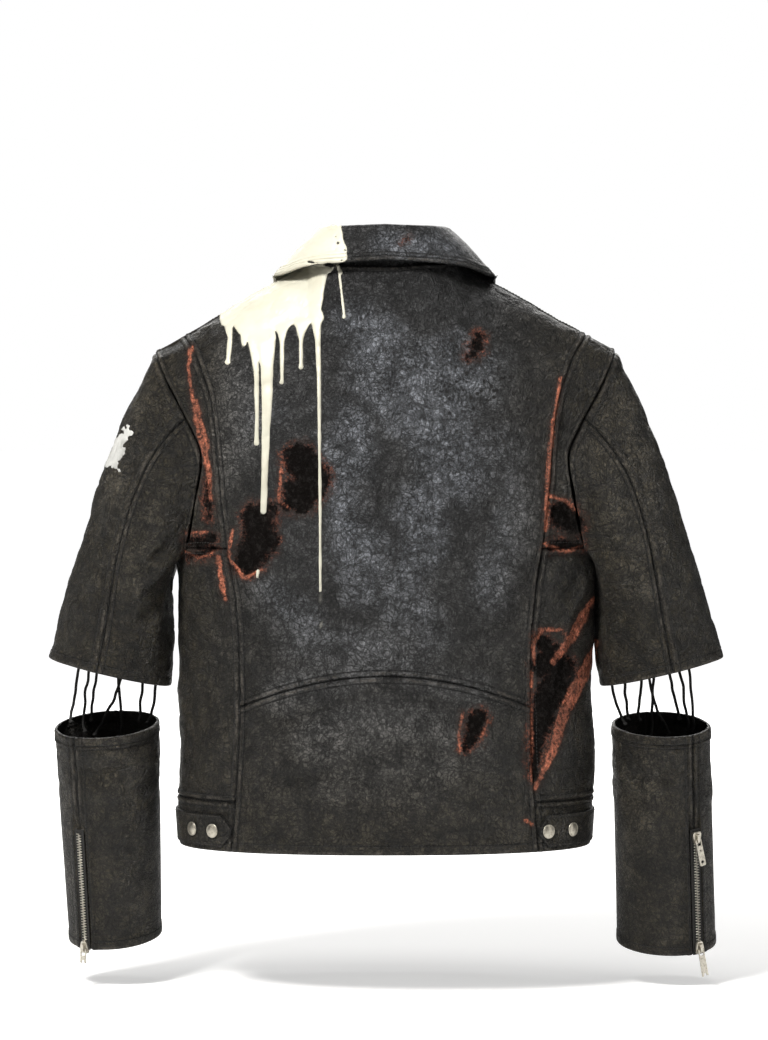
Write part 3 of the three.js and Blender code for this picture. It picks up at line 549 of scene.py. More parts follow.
def collar_frame(s):
    """For each place round the neck: its turn, how far to the front, seam, way out and fold."""
    turn = lerp(-COLLAR_TURN, COLLAR_TURN, s)
    away = np.abs(turn) / math.pi
    x = NECK_HALF * np.sin(turn)
    back = (away < 0.5)[..., None]
    seam = np.where(back, back_point(x, back_neck_z(x)), front_point(x, front_neck_z(x)))
    out = points(np.sin(turn), -np.cos(turn), 0)
    fold = seam - out * collar_lean(away)[..., None] + points(0, 0, collar_height(away))
    return turn, away, seam, out, fold


def clear_of_body(p):
    """The same points, moved forwards or back until they clear the shoulders."""
    side = np.where(p[..., 1] >= 0, 1, -1)
    lowered = p[..., 2] - COLLAR_CLEAR
    depth = np.where(side > 0, body_depth(p[..., 0], lowered, front_depth),
                     body_depth(p[..., 0], lowered, back_depth))
    least = np.where(depth > 0, depth + COLLAR_CLEAR, 0)
    return points(p[..., 0], side * np.maximum(np.abs(p[..., 1]), least), p[..., 2])


def fall_edge(turn, away):
    x = collar_edge_x(away) * np.sign(turn)
    z = collar_edge_z(away)
    back = points(x, -86 * np.cos(away * math.pi), z)
    return np.where((away <= 0.5)[..., None], back, clear_of_body(points(x, 1, z)))


def collar_stand(s, t):
    """The band inside the leaf, from a foot inside the neck up to the fold."""
    _, _, seam, out, fold = collar_frame(s)
    foot = seam - out * STAND_IN - np.array([0, 0, STAND_DOWN])
    return lerp(foot, fold, t[..., None])


def collar_fall(s, t):
    """t runs from the outer edge of the leaf up to its fold, and over it to the neck side."""
    turn, away, _, out, fold = collar_frame(s)
    edge = fall_edge(turn, away)
    rolled = [fold + out * across + np.array([0, 0, up]) for across, up in COLLAR_ROLL]
    u = np.clip(t / LEAF_SHARE, 0, 1)[..., None]
    leaf = clear_of_body(lerp(edge, rolled[0], u) + np.array([0, 0, 2]) * np.sin(math.pi * u))
    v = np.clip((t - LEAF_SHARE) / (1 - LEAF_SHARE), 0, 1) * (len(rolled) - 1)
    for k in range(len(rolled) - 1):
        share = (v - k)[..., None]
        leaf = np.where(share > 0, lerp(rolled[k], rolled[k + 1], np.clip(share, 0, 1)), leaf)
    return leaf


print("collar", round(2 * COLLAR_TURN * NECK_HALF), "mm round the neck")

# %% [markdown]
# ## Leather relief
# Leather filled out on a body keeps three sizes of relief: soft dents a few centimetres wide, a
# handful of long drag folds, and a raised roll of doubled leather on both sides
# of every seam. All three push the surface in or out along its own direction, and the dents are
# read from the place in space, so two pieces that share a seam move together.

# %% Noise and strokes
NOISE_TABLE = np.random.default_rng(11).uniform(-1, 1, 8192)


def noise(p, scale, seed=0):
    """Smooth noise from -1 to 1 at points, with bumps about one scale apart."""
    q = p / scale + seed * 17.31
    cell = np.floor(q).astype(np.int64)
    f = q - cell
    f = f * f * (3 - 2 * f)
    total = 0
    for corner in np.ndindex(2, 2, 2):
        weight = np.prod(np.where(np.array(corner), f, 1 - f), axis=-1)
        key = np.sum((cell + corner) * np.array([73856093, 19349663, 83492791]), axis=-1)
        total = total + weight * NOISE_TABLE[(key ^ (key >> 13)) & 8191]
    return total


def smooth(low, high, value):
    t = np.clip((value - low) / (high - low), 0, 1)
    return t * t * (3 - 2 * t)


def drawn(p):
    """Where a point shows on a flat drawing of the back made from the camera's side, in mm."""
    cos, sin = math.cos(CAMERA_RISE), math.sin(CAMERA_RISE)
    far, aim = CAMERA_FAR / MM, AIM_HEIGHT / MM
    up = (p[..., 2] - aim) * cos + p[..., 1] * sin
    away = far + p[..., 1] * cos - (p[..., 2] - aim) * sin
    return np.stack([p[..., 0] * far / away, up * far / away + aim], -1)


def stroke_distance(place, stroke):
    """Distance from a line of (x, z, radius) points less its radius, and the share along it."""
    best = np.full(place.shape[:-1], 1000.0)
    share = np.zeros(place.shape[:-1])
    line = np.array(stroke, float)
    for k in range(len(line) - 1):
        a, b = line[k, :2], line[k + 1, :2]
        u = np.clip(((place - a) @ (b - a)) / max((b - a) @ (b - a), 1e-9), 0, 1)
        gap = np.linalg.norm(place - (a + u[..., None] * (b - a)), axis=-1)
        gap = gap - lerp(line[k, 2], line[k + 1, 2], u)
        share = np.where(gap < best, (k + u) / (len(line) - 1), share)
        best = np.minimum(best, gap)
    return best, share


# %% Folds, as lines on the drawing: height in mm, half width in mm, points
BACK_FOLDS = [
    (-2.4, 9, [(-178, -262), (-150, -330), (-120, -392)]),
    (2.0, 8, [(-165, -250), (-128, -325), (-96, -385)]),
    (-2.0, 9, [(176, -268), (140, -330), (112, -388)]),
    (1.8, 8, [(160, -255), (120, -322), (92, -380)]),
    (-1.6, 12, [(-60, -120), (-20, -180), (10, -260)]),
    (1.5, 12, [(60, -110), (30, -190), (12, -280)]),
    (-1.8, 7, [(-140, -446), (-90, -455), (-40, -440)]),
    (1.5, 7, [(-130, -468), (-70, -480), (-10, -470)]),
    (-1.6, 7, [(20, -445), (70, -462), (128, -458)]),
    (1.4, 7, [(0, -500), (60, -492), (120, -505)]),
    (-1.5, 6, [(-120, -520), (-60, -508), (0, -520)]),
    (-1.4, 6, [(-100, -400), (-104, -430), (-96, -470)]),
    (-1.2, 5, [(40, -405), (46, -440), (38, -480)]),
    (1.2, 5, [(100, -410), (96, -450), (108, -490)]),
    (-1.6, 8, [(-70, -40), (-110, -58), (-150, -66)]),
    (-1.4, 8, [(60, -42), (104, -56), (150, -66)]),
    (1.8, 7, [(-204, -300), (-186, -360), (-176, -420)]),
    (-2.0, 7, [(-196, -330), (-180, -400), (-172, -470)]),
    (1.8, 7, [(205, -300), (188, -352), (172, -410)]),
    (-2.0, 7, [(198, -330), (182, -390), (168, -450)]),
    (-2.6, 8, [(-206, -270), (-236, -296), (-268, -308)]),
    (2.2, 7, [(-208, -282), (-238, -316), (-262, -330)]),
    (-2.2, 8, [(-206, -300), (-228, -338), (-250, -362)]),
    (1.8, 8, [(-244, -200), (-262, -270), (-272, -350)]),
    (-2.0, 8, [(-262, -170), (-290, -240), (-304, -320)]),
    (1.6, 7, [(-284, -150), (-306, -230), (-318, -300)]),
    (-2.6, 8, [(206, -268), (238, -292), (270, -302)]),
    (2.2, 7, [(208, -280), (240, -312), (264, -326)]),
    (-2.2, 8, [(206, -298), (230, -336), (252, -360)]),
    (1.8, 8, [(262, -210), (282, -280), (292, -360)]),
    (-2.0, 8, [(250, -160), (286, -220), (306, -300)]),
    (1.6, 7, [(276, -140), (304, -220), (322, -300)]),
    (1.6, 6, [(-300, -370), (-280, -382), (-250, -378)]),
    (1.6, 6, [(244, -374), (276, -384), (306, -372)]),
    (-1.8, 7, [(-322, -500), (-290, -512), (-250, -500)]),
    (1.6, 7, [(-318, -540), (-290, -552), (-240, -536)]),
    (-1.6, 7, [(-312, -600), (-280, -590), (-244, -602)]),
    (-1.8, 7, [(236, -498), (262, -514), (296, -506)]),
    (1.6, 7, [(240, -540), (270, -556), (300, -548)]),
    (-1.6, 7, [(242, -610), (270, -596), (298, -604)]),
    (-1.2, 4, [(-262, -520), (-258, -580), (-262, -640)]),
    (-1.2, 4, [(252, -500), (258, -580), (254, -650)]),
]
FRONT_FOLDS = [
    (-2.2, 9, [(178, -262), (140, -330), (100, -390)]),
    (2.0, 8, [(170, -245), (128, -320), (84, -375)]),
    (-1.8, 9, [(190, -330), (150, -410), (120, -470)]),
    (1.6, 8, [(60, -150), (96, -240), (110, -330)]),
    (-1.8, 8, [(40, -440), (90, -456), (150, -448)]),
    (1.6, 8, [(30, -500), (84, -488), (150, -504)]),
    (-1.6, 10, [(120, -90), (100, -170), (60, -230)]),
    (-2.4, 8, [(208, -270), (240, -296), (270, -306)]),
    (2.0, 7, [(210, -284), (240, -318), (262, -330)]),
    (-2.0, 8, [(258, -160), (288, -230), (304, -310)]),
    (1.8, 8, [(250, -200), (276, -280), (284, -350)]),
    (-1.8, 8, [(238, -500), (266, -514), (300, -502)]),
    (1.6, 7, [(244, -560), (270, -572), (304, -560)]),
    (-1.6, 7, [(250, -620), (276, -610), (312, -622)]),
]
FOLD_GAIN = 1.9


def fold_height(p, normal):
    """Height in mm of the folds: a ridge or a trough with a shallow one beside it."""
    place = drawn(p)
    mirrored = np.stack([np.abs(p[..., 0]), p[..., 2]], -1)
    total = np.zeros(p.shape[:-1])
    for folds, spot, facing in ((BACK_FOLDS, place, -normal[..., 1]),
                                (FRONT_FOLDS, mirrored, normal[..., 1])):
        seen = smooth(0, 0.5, facing)
        if seen.max() == 0:
            continue
        for height, width, line in folds:
            gap, share = stroke_distance(spot, [(x, z, 0) for x, z in line])
            ends = smooth(0, 0.3, share) * smooth(0, 0.3, 1 - share)
            crest = np.exp(-(gap / width) ** 2) - 0.3 * np.exp(-(gap / width / 2.2) ** 2)
            total += FOLD_GAIN * height * seen * ends * crest
    return total


def dents(p):
    """Soft dents of several widths and fine cracks, in mm."""
    wide = noise(p, 58, 1) * 2.4 + noise(p, 27, 2) * 1.7
    small = noise(p, 12, 3) * 0.5 + noise(p, 6, 4) * 0.22
    bent = p + np.stack([noise(p, 24, k) * 7 for k in (12, 13, 14)], -1)
    slanted = bent @ np.array([[1, 0, 0.35], [0, 1, 0], [-0.35, 0, 1]]) * np.array([0.55, 1, 1.2])
    cracked = 1 - np.abs(noise(slanted, 19, 5))
    finer = 1 - np.abs(noise(bent, 10, 6))
    return wide + small - 1.0 * cracked**8 - 0.4 * finer**7


print(len(BACK_FOLDS), "folds at the back,", len(FRONT_FOLDS), "at the front")

# %% [markdown]
# ## Shells
# A panel is a grid of points, closer together near its seams, pushed out or in by the relief
# and closed with an inner side two millimetres below. Each vertex also carries how far it is
# from a seam, from a burn and from a scorched streak, so the finish can follow the making.

# %% Burns and scorched streaks, drawn as (x, z, radius) lines in mm
BURNS = [
    [(-86, -192, 17), (-72, -212, 18), (-84, -226, 19), (-96, -236, 8)],
    [(-128, -250, 15), (-124, -272, 17), (-136, -294, 14), (-150, -300, 4)],
    [(-118, -256, 8), (-112, -240, 5)], [(-198, -272, 3), (-184, -276, 8), (-174, -272, 6)],
    [(-196, -288, 3), (-180, -286, 5), (-172, -280, 4)], [(-178, -214, 3), (-176, -250, 3)],
    [(166, -240, 3), (178, -248, 14), (190, -256, 10)],
    [(168, -278, 6), (184, -276, 5), (196, -278, 3)], [(94, -70, 6), (90, -82, 8), (84, -90, 3)],
    [(156, -372, 8), (166, -384, 10), (158, -398, 12)],
    [(176, -398, 12), (163, -430, 15), (152, -470, 9), (148, -505, 4)],
    [(182, -398, 9), (176, -430, 8)], [(94, -450, 9), (86, -470, 9), (80, -480, 4)],
    [(148, -484, 6), (150, -508, 4)], [(20, 27, 1.2), (22, 30, 1)],
]
STREAKS = [
    [(-193, -79, 1.6), (-197, -102, 1.2)],
    [(-196, -84, 0.8), (-196, -112, 1.0), (-188, -160, 1.6), (-178, -196, 2.2),
      (-174, -232, 1.4)], [(-190, -132, 1.5), (-178, -180, 2)],
    [(-202, -282, 1), (-186, -290, 1.4), (-170, -284, 1)],
    [(-168, -288, 1.6), (-163, -318, 1.8), (-160, -332, 0.6)],
    [(-199, -266, 0.8), (-180, -264, 1.5)],
    [(176, -110, 1), (170, -150, 1.8), (164, -200, 2), (161, -262, 1.6)],
    [(164, -228, 1.5), (182, -233, 1.4), (194, -246, 1)],
    [(160, -276, 1.5), (180, -284, 1.6), (196, -278, 1)],
    [(212, -374, 3), (204, -398, 5.6), (192, -418, 6.4), (180, -442, 6), (167, -482, 4),
      (150, -521, 1.4)], [(207, -330, 1.4), (198, -350, 4), (186, -372, 4.6), (168, -394, 3)],
    [(186, -372, 1.6), (176, -362, 1.2), (156, -362, 2), (148, -378, 1.5), (150, -396, 1.4)],
    [(146, -404, 1.2), (146, -420, 1)], [(146, -440, 1), (147, -470, 1.2), (146, -516, 0.8)],
    [(78, -444, 1), (74, -470, 1.2), (76, -486, 0.6)], [(104, -452, 0.8), (96, -470, 0.8)],
    [(140, -552, 0.8), (146, -556, 1.4)], [(-104, -196, 0.8), (-106, -232, 1.4), (-94, -242, 1)],
    [(-152, -262, 1.2), (-156, -290, 1.6), (-140, -310, 1.4), (-124, -302, 1)],
]
FAR_AWAY = 40.0


def marks(p, normal):
    """Distances in mm to the burns and to the streaks, negative inside them."""
    place = drawn(p)
    hidden = FAR_AWAY * smooth(-0.1, 0.25, normal[..., 1])
    found = []
    for lines in (BURNS, STREAKS):
        gap = np.full(p.shape[:-1], FAR_AWAY)
        for line in lines:
            gap = np.minimum(gap, stroke_distance(place, line)[0])
        found.append(np.clip(gap + hidden, -20, FAR_AWAY))
    return found


# %% Polish patches with a painted sheen over them, drawn as (x, z, radius) lines in mm
POLISH_AND_SHEEN = [
    [(-30, -60, 18), (10, -110, 30), (56, -150, 34), (70, -200, 26)],
    [(40, -100, 20), (96, -110, 20)], [(-40, -150, 12), (-44, -230, 10), (-20, -320, 14)],
    [(30, -230, 16), (20, -330, 18), (40, -380, 12)],
    [(-150, -80, 10), (-156, -150, 14), (-150, -200, 8)], [(-130, -140, 10), (-150, -176, 10)],
    [(120, -180, 12), (132, -260, 12), (112, -330, 8)],
    [(-120, -330, 10), (-70, -372, 12), (0, -384, 10)],
    [(-60, -470, 20), (20, -460, 22), (90, -476, 12)], [(-40, -520, 12), (60, -510, 12)],
    [(-242, -130, 8), (-262, -170, 10), (-272, -250, 9)], [(-232, -240, 6), (-246, -320, 8)],
    [(244, -140, 8), (262, -200, 10), (280, -280, 8)],
    [(226, -170, 7), (244, -240, 8), (252, -320, 6)], [(10, 26, 10), (60, 24, 9)],
    [(-270, -480, 8), (-250, -520, 8)], [(256, -500, 9), (262, -560, 7)],
    [(196, -180, 5), (190, -240, 5)], [(-100, -425, 5), (0, -398, 5), (100, -425, 5)],
]


def polish_and_sheen_marks(p, normal):
    """1 where the hide has a polish with a painted sheen, fading over a few centimetres."""
    place = drawn(p)
    warp = (np.stack([noise(p, 40, 51), noise(p, 40, 52)], -1) * 14
            + np.stack([noise(p, 17, 53), noise(p, 17, 54)], -1) * 7)
    total = np.zeros(p.shape[:-1])
    for line in POLISH_AND_SHEEN:
        total = np.maximum(total, smooth(24, -10, stroke_distance(place + warp, line)[0]))
    front = 0.35 * smooth(0.1, 0.7, noise(p, 55, 55)) * smooth(-0.1, 0.2, normal[..., 1])
    return total * smooth(0.2, -0.2, normal[..., 1]) + front


# %% Grid helpers
WALL = 2.0
STITCH_AT = {"seam": (6.2,), "hem": (9.0,), "rim": (8.0, 12.0), "leaf": (4.0, 8.0), "tab": (3.6,),
             "head": (8.0,), "zip": (9.3,)}
SEAM_STEPS = np.array([0, 0.5, 1.1, 1.8, 2.6, 3.5, 4.5, 5.4, 6.2, 7.0, 8.0, 9.0, 10.0, 11.2, 12.6])


def spacing(length, step, first=True, last=True):
    """Places from 0 to 1 along an edge, closer together near the ends that are seams."""
    fine = SEAM_STEPS / length
    head = fine if first else fine[:1]
    tail = 1 - fine[::-1] if last else np.array([1.0])
    count = max(2, round((tail[0] - head[-1]) * length / step))
    return np.concatenate([head, np.linspace(head[-1], tail[0], count + 1)[1:-1], tail])


def grid_normals(p, outward):
    """Unit normals of a grid of points; outward is 1 or -1 and picks the side."""
    across = np.gradient(p, axis=1)
    up = np.gradient(p, axis=0)
    normal = np.cross(across, up) * outward
    size = np.linalg.norm(normal, axis=-1, keepdims=True)
    return normal / np.maximum(size, 1e-9)


def edge_distances(p):
    """Distance in mm of every grid point from the left, right, bottom and top edges."""
    along = np.pad(np.cumsum(np.linalg.norm(np.diff(p, axis=1), axis=-1), axis=1), ((0, 0), (1, 0)))
    upward = np.pad(np.cumsum(np.linalg.norm(np.diff(p, axis=0), axis=-1), axis=0), ((1, 0), (0, 0)))
    return {"left": along, "right": along[:, -1:] - along, "bottom": upward,
            "top": upward[-1:] - upward}


def edge_relief(kind, d):
    """Height in mm at a distance from an edge that is sewn or turned in the given way."""
    if kind == "seam":
        return (1.0 * np.exp(-((d - 3.2) / 2.0) ** 2) - 1.2 * np.exp(-(d / 1.1) ** 2)
                - 0.3 * np.exp(-((d - 6.2) / 0.7) ** 2))
    if kind in ("hem", "rim", "leaf"):
        curl = np.clip(1 - d / 2.6, 0, 1)
        return -1.6 * (1 - np.sqrt(1 - curl**2 * 0.999)) + 0.7 * smooth(13, 10, d) - sum(
            0.8 * np.exp(-((d - at) / 0.9) ** 2) for at in STITCH_AT[kind])
    if kind == "zip":
        return 1.5 * smooth(6.2, 8.0, d) * smooth(13.0, 10.5, d) - 1.1 * smooth(7.4, 6.2, d)
    if kind == "tab":
        curl = np.clip(1 - d / 1.8, 0, 1)
        return -1.2 * (1 - np.sqrt(1 - curl**2 * 0.999)) - 0.35 * np.exp(-((d - 3.6) / 0.7) ** 2)
    if kind == "head":
        return 1.6 * np.exp(-((d - 5) / 4.5) ** 2) - 1.2 * np.exp(-(d / 1.3) ** 2)


def close_shell(outer, inner):
    """Vertices and faces of a closed body between two grids."""
    rows, cols = outer.shape[:2]
    index = np.arange(rows * cols).reshape(rows, cols)
    low = index + rows * cols
    faces = [np.stack(corners, -1).reshape(-1, 4) for corners in (
        (index[:-1, :-1], index[:-1, 1:], index[1:, 1:], index[1:, :-1]),
        (low[:-1, :-1], low[1:, :-1], low[1:, 1:], low[:-1, 1:]))]
    for a, b in ((index[0], low[0]), (index[-1, ::-1], low[-1, ::-1]),
                 (index[::-1, 0], low[::-1, 0]), (index[:, -1], low[:, -1])):
        faces.append(np.stack([a[1:], a[:-1], b[:-1], b[1:]], -1))
    return np.concatenate([outer.reshape(-1, 3), inner.reshape(-1, 3)]), np.concatenate(faces)


def add_mesh(name, vertices, faces, material, flip=False, attributes=None):
    """A mesh object from points in mm, with float values for its vertices."""
    mesh = bpy.data.meshes.new(name)
    if flip:
        faces = faces[:, ::-1]
    mesh.vertices.add(len(vertices))
    mesh.vertices.foreach_set("co", (np.asarray(vertices) * MM).astype(np.float32).ravel())
    width = faces.shape[1]
    mesh.loops.add(faces.size)
    mesh.loops.foreach_set("vertex_index", faces.astype(np.int32).ravel())
    mesh.polygons.add(len(faces))
    mesh.polygons.foreach_set("loop_start", np.arange(0, faces.size, width, dtype=np.int32))
    mesh.update(calc_edges=True)
    mesh.validate()
    mesh.polygons.foreach_set("use_smooth", np.ones(len(mesh.polygons), bool))
    for key, values in (attributes or {}).items():
        layer = mesh.attributes.new(key, "FLOAT", "POINT")
        layer.data.foreach_set("value", np.asarray(values, np.float32).ravel())
    mesh.materials.append(material)
    piece = bpy.data.objects.new(name, mesh)
    bpy.context.scene.collection.objects.link(piece)
    return piece


# %% Panels and the relief on them
SHEETS = {}
DEEPEST = -1.7
INNER_SHARE = 0.75


def calm_places(p):
    """1 on open leather, near 0 under the waist tabs and their snaps."""
    place = drawn(p)
    near = smooth(-524, -536, p[..., 2]) * smooth(140, 152, np.abs(place[..., 0]))
    return 1 - 0.92 * near


def relieved(p, normal, edges, quiet=1.0):
    """The surface with its relief, and the vertex values for the finish."""
    distances = edge_distances(p)
    seam = np.full(p.shape[:-1], FAR_AWAY)
    relief = np.zeros(p.shape[:-1])
    stitched = np.full(p.shape[:-1], 20.0)
    calm = calm_places(p)
    for side, kind in edges.items():
        d = distances[side]
        raised = edge_relief("seam" if kind == "zip" else kind, d)
        if kind == "zip":
            opened = smooth(ZIP_TOP + 6, ZIP_TOP - 2, p[..., 2])
            raised = lerp(raised, edge_relief("zip", d), opened)
            calm = calm * (1 - 0.95 * opened * smooth(20, 9, d))
        relief += raised
        seam = np.minimum(seam, d if kind not in ("hem", "rim", "leaf") else d + 1.5)
        for at in STITCH_AT[kind]:
            stitched = np.minimum(stitched, np.abs(d - at))
    relief = np.maximum(relief, DEEPEST)
    pucker = noise(p, 9, 8) * 0.45 * np.exp(-((seam - 7) / 5) ** 2)
    body = (dents(p) + fold_height(p, normal)) * quiet * calm
    pucker = pucker * calm
    edge_calm = 0.55 + 0.45 * smooth(0, 14, seam)
    burn, streak = marks(p, normal)
    shrunk = -0.8 * smooth(2, -5, burn) + 0.5 * np.exp(-(burn / 2.5) ** 2) * (burn < 30)
    total = relief + pucker + body * edge_calm + shrunk
    # The polish marks also carry a painted sheen into the finish.
    values = {"seam": seam, "burn": burn, "streak": streak, "height": body,
              "stitched": stitched, "polish_and_sheen": polish_and_sheen_marks(p, normal)}
    return p + normal * total[..., None], values


def add_panel(name, surface, size, step, edges, outward, material, mirrored=False, quiet=1.0):
    s = spacing(size[0], step, "left" in edges, "right" in edges)
    t = spacing(size[1], step, "bottom" in edges, "top" in edges)
    base = surface(*np.meshgrid(s, t))
    if mirrored:
        base = base * np.array([-1, 1, 1])
        outward = -outward
    normal = grid_normals(base, outward)
    outer, values = relieved(base, normal, edges, quiet)
    inner = base + (outer - base) * INNER_SHARE - normal * WALL
    vertices, faces = close_shell(outer, inner)
    both = {key: np.concatenate([v.ravel(), v.ravel()]) for key, v in values.items()}
    both["inside"] = np.repeat([0.0, 1.0], outer.shape[0] * outer.shape[1])
    piece = add_mesh(name + "_leather", vertices, faces, material, outward < 0, both)
    SHEETS[name] = {"piece": piece, "outer": outer, "normal": grid_normals(outer, outward)}
    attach(piece, "root")
    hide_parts(name)
    return piece


print("relief ready")

# %% [markdown]
# ## Leather finish
# The leather is one dark dyed hide. Its look comes from layers: a pebbled grain that bends the
# light, a mottled dye, dye worn thin on the raised seams, and scorched places where the hide
# is charred black with a rust-coloured rim. Each effect is a small node group that gives out a
# mask or a height, and the shader itself puts them together. Over the middle of the back the
# shader also mixes a painted bluish sheen and painted highlight patches into the dye.

# %% Node helper
class Wire:
    """Adds nodes to a tree and joins their inputs in one call."""

    def __init__(self, tree):
        self.tree = tree

    def add(self, kind, inputs=None, **settings):
        node = self.tree.nodes.new(kind)
        for key, value in settings.items():
            setattr(node, key, value)
        for key, value in (inputs or {}).items():
            if isinstance(value, bpy.types.NodeSocket):
                self.link(value, node.inputs[key])
            else:
                node.inputs[key].default_value = value
        return node

    def link(self, start, end):
        self.tree.links.new(start, end)

    def maths(self, operation, a, b=0.0, clamp=False):
        return self.add("ShaderNodeMath", {0: a, 1: b}, operation=operation,
                        use_clamp=clamp).outputs[0]

    def times(self, a, b):
        return self.maths("MULTIPLY", a, b)

    def plus(self, a, b, clamp=False):
        return self.maths("ADD", a, b, clamp)

    def less(self, a, b):
        return self.maths("SUBTRACT", a, b)

    def step(self, value, low, high):
        """0 below low and 1 above high, smooth between."""
        node = self.add("ShaderNodeMapRange", {"Value": value, "From Min": low, "From Max": high},
                        interpolation_type="SMOOTHSTEP")
        return node.outputs["Result"]

    def mix(self, factor, a, b):
        node = self.add("ShaderNodeMix", data_type="RGBA")
        for socket, value in ((node.inputs[0], factor), (node.inputs[6], a), (node.inputs[7], b)):
            if isinstance(value, bpy.types.NodeSocket):
                self.link(value, socket)
            else:
                socket.default_value = value if isinstance(value, float) else (*value, 1)
        return node.outputs[2]

    def noise(self, place, scale, detail=3.0, rough=0.55):
        return self.add("ShaderNodeTexNoise", {"Vector": place, "Scale": scale, "Detail": detail,
                                               "Roughness": rough}).outputs[0]

    def bump(self, shader, height, strength, distance):
        """Bends the light on a shader by a height; gives out the bent normal."""
        node = self.add("ShaderNodeBump", {"Height": height, "Strength": strength,
                                           "Distance": distance})
        self.link(node.outputs[0], shader.inputs["Normal"])
        return node.outputs[0]


def node_group(name, inputs, outputs):
    """A shader group with float or vector inputs and float or colour outputs."""
    group = bpy.data.node_groups.new(name, "ShaderNodeTree")
    for key, kind in inputs:
        group.interface.new_socket(key, in_out="INPUT", socket_type=kind)
    for key, kind in outputs:
        group.interface.new_socket(key, in_out="OUTPUT", socket_type=kind)
    wire = Wire(group)
    entry = wire.add("NodeGroupInput")
    leave = wire.add("NodeGroupOutput")
    return group, wire, entry, leave


# %% Grain group
VECTOR, FLOAT = "NodeSocketVector", "NodeSocketFloat"
GRAIN_PARTS = {"coarse": 0.30, "cracked": 0.35, "ridged": 0.40, "lumps": 1.9, "dust": 0.4}


def grain_group():
    """Pebbles between fine cracks, and a mottle of dye worn off in patches."""
    group, wire, entry, leave = node_group(
        "leather_grain", [("Place", VECTOR)],
        [("Height", FLOAT), ("Mottle", FLOAT), ("Creased", FLOAT)])
    place = entry.outputs["Place"]
    drift = wire.add("ShaderNodeTexNoise", {"Vector": place, "Scale": 45.0, "Detail": 5.0}).outputs[1]
    bend = wire.add("ShaderNodeVectorMath", {0: drift, 1: (0.016, 0.016, 0.016)},
                    operation="MULTIPLY").outputs[0]
    bent = wire.add("ShaderNodeVectorMath", {0: place, 1: bend}, operation="ADD").outputs[0]

    def cells(scale, width):
        edge = wire.add("ShaderNodeTexVoronoi", {"Vector": bent, "Scale": scale},
                        feature="DISTANCE_TO_EDGE")
        return wire.step(edge.outputs["Distance"], 0.0, width)

    pebble, coarse, cracked = cells(620.0, 0.3), cells(210.0, 0.14), cells(62.0, 0.05)
    ridged = wire.maths("ABSOLUTE", wire.less(wire.noise(bent, 48.0, 6.0, 0.6), 0.5))
    ridged = wire.step(ridged, 0.0, 0.05)
    parts = {"coarse": coarse, "cracked": cracked, "ridged": ridged,
             "lumps": wire.noise(bent, 100.0, 7.0, 0.68), "dust": wire.noise(place, 800.0, 4.0, 0.7)}
    height = wire.times(pebble, 0.22)
    for key, share in GRAIN_PARTS.items():
        height = wire.plus(height, wire.times(parts[key], share))
    broad = wire.step(wire.noise(place, 34.0, 12.0, 0.85), 0.40, 0.62)
    fine = wire.step(wire.noise(bent, 380.0, 8.0, 0.85), 0.42, 0.60)
    mottle = wire.plus(wire.times(broad, 0.35), wire.times(fine, 0.3))
    mottle = wire.plus(mottle, wire.times(wire.times(fine, broad), 0.45), True)
    creased = wire.less(1.0, wire.times(wire.times(coarse, cracked), ridged))
    for key, socket in (("Height", height), ("Mottle", mottle), ("Creased", creased)):
        wire.link(socket, leave.inputs[key])
    return group


GRAIN = grain_group()
print("grain with", len(GRAIN.nodes), "nodes")

# %% Wear and scorch groups


def wear_group():
    """1 where a seam's roll or a raised dent is worn bare."""
    group, wire, entry, leave = node_group(
        "edge_wear", [("Place", VECTOR), ("Seam", FLOAT), ("Height", FLOAT)], [("Rubbed", FLOAT)])
    place, seam = entry.outputs["Place"], entry.outputs["Seam"]
    roll = wire.times(wire.step(seam, 1.2, 2.4), wire.step(seam, 5.8, 3.4))
    broken = wire.step(wire.noise(place, 75.0, 8.0, 0.8), 0.46, 0.62)
    raised = wire.step(entry.outputs["Height"], 0.8, 3.2)
    scuffed = wire.step(wire.noise(place, 240.0, 6.0, 0.72), 0.54, 0.72)
    total = wire.times(roll, broken)
    total = wire.plus(total, wire.times(wire.times(raised, scuffed), 0.5), True)
    wire.link(total, leave.inputs["Rubbed"])
    return group


def scorch_group():
    """Char inside a burn, rust round it and along streaks, and a singed belt farther out."""
    group, wire, entry, leave = node_group(
        "scorch", [("Place", VECTOR), ("Burn", FLOAT), ("Streak", FLOAT)],
        [("Char", FLOAT), ("Rust", FLOAT), ("Singed", FLOAT)])
    place = entry.outputs["Place"]
    ragged = wire.times(wire.less(wire.noise(place, 130.0, 8.0, 0.75), 0.5), 26.0)
    edge = wire.plus(entry.outputs["Burn"], ragged)
    line = wire.plus(entry.outputs["Streak"], wire.times(ragged, 0.32))
    thin = wire.step(wire.noise(place, 160.0, 6.0, 0.8), 0.62, 0.46)
    char = wire.times(wire.step(edge, 1.5, -2.5), wire.plus(wire.times(thin, 0.45), 0.55))
    rim = wire.times(wire.step(edge, 6.0, 1.0), wire.step(edge, -6.0, 1.0))
    patchy = wire.step(wire.noise(place, 52.0, 6.0, 0.75), 0.44, 0.58)
    flecks = wire.step(wire.noise(place, 380.0, 5.0, 0.75), 0.44, 0.6)
    rim = wire.times(wire.times(rim, patchy), flecks)
    streak = wire.times(wire.step(line, 1.2, -0.6), wire.plus(wire.times(flecks, 0.5), 0.5))
    streak = wire.times(streak, wire.plus(wire.times(patchy, 0.5), 0.5))
    rust = wire.maths("MAXIMUM", wire.times(rim, 0.9), streak)
    singed = wire.maths("MAXIMUM", wire.step(edge, 9.0, 2.0), wire.step(line, 6.0, 0.5))
    for key, socket in (("Char", char), ("Rust", rust), ("Singed", singed)):
        wire.link(socket, leave.inputs[key])
    return group


WEAR, SCORCH = wear_group(), scorch_group()
print("wear and scorch with", len(WEAR.nodes), "and", len(SCORCH.nodes), "nodes")
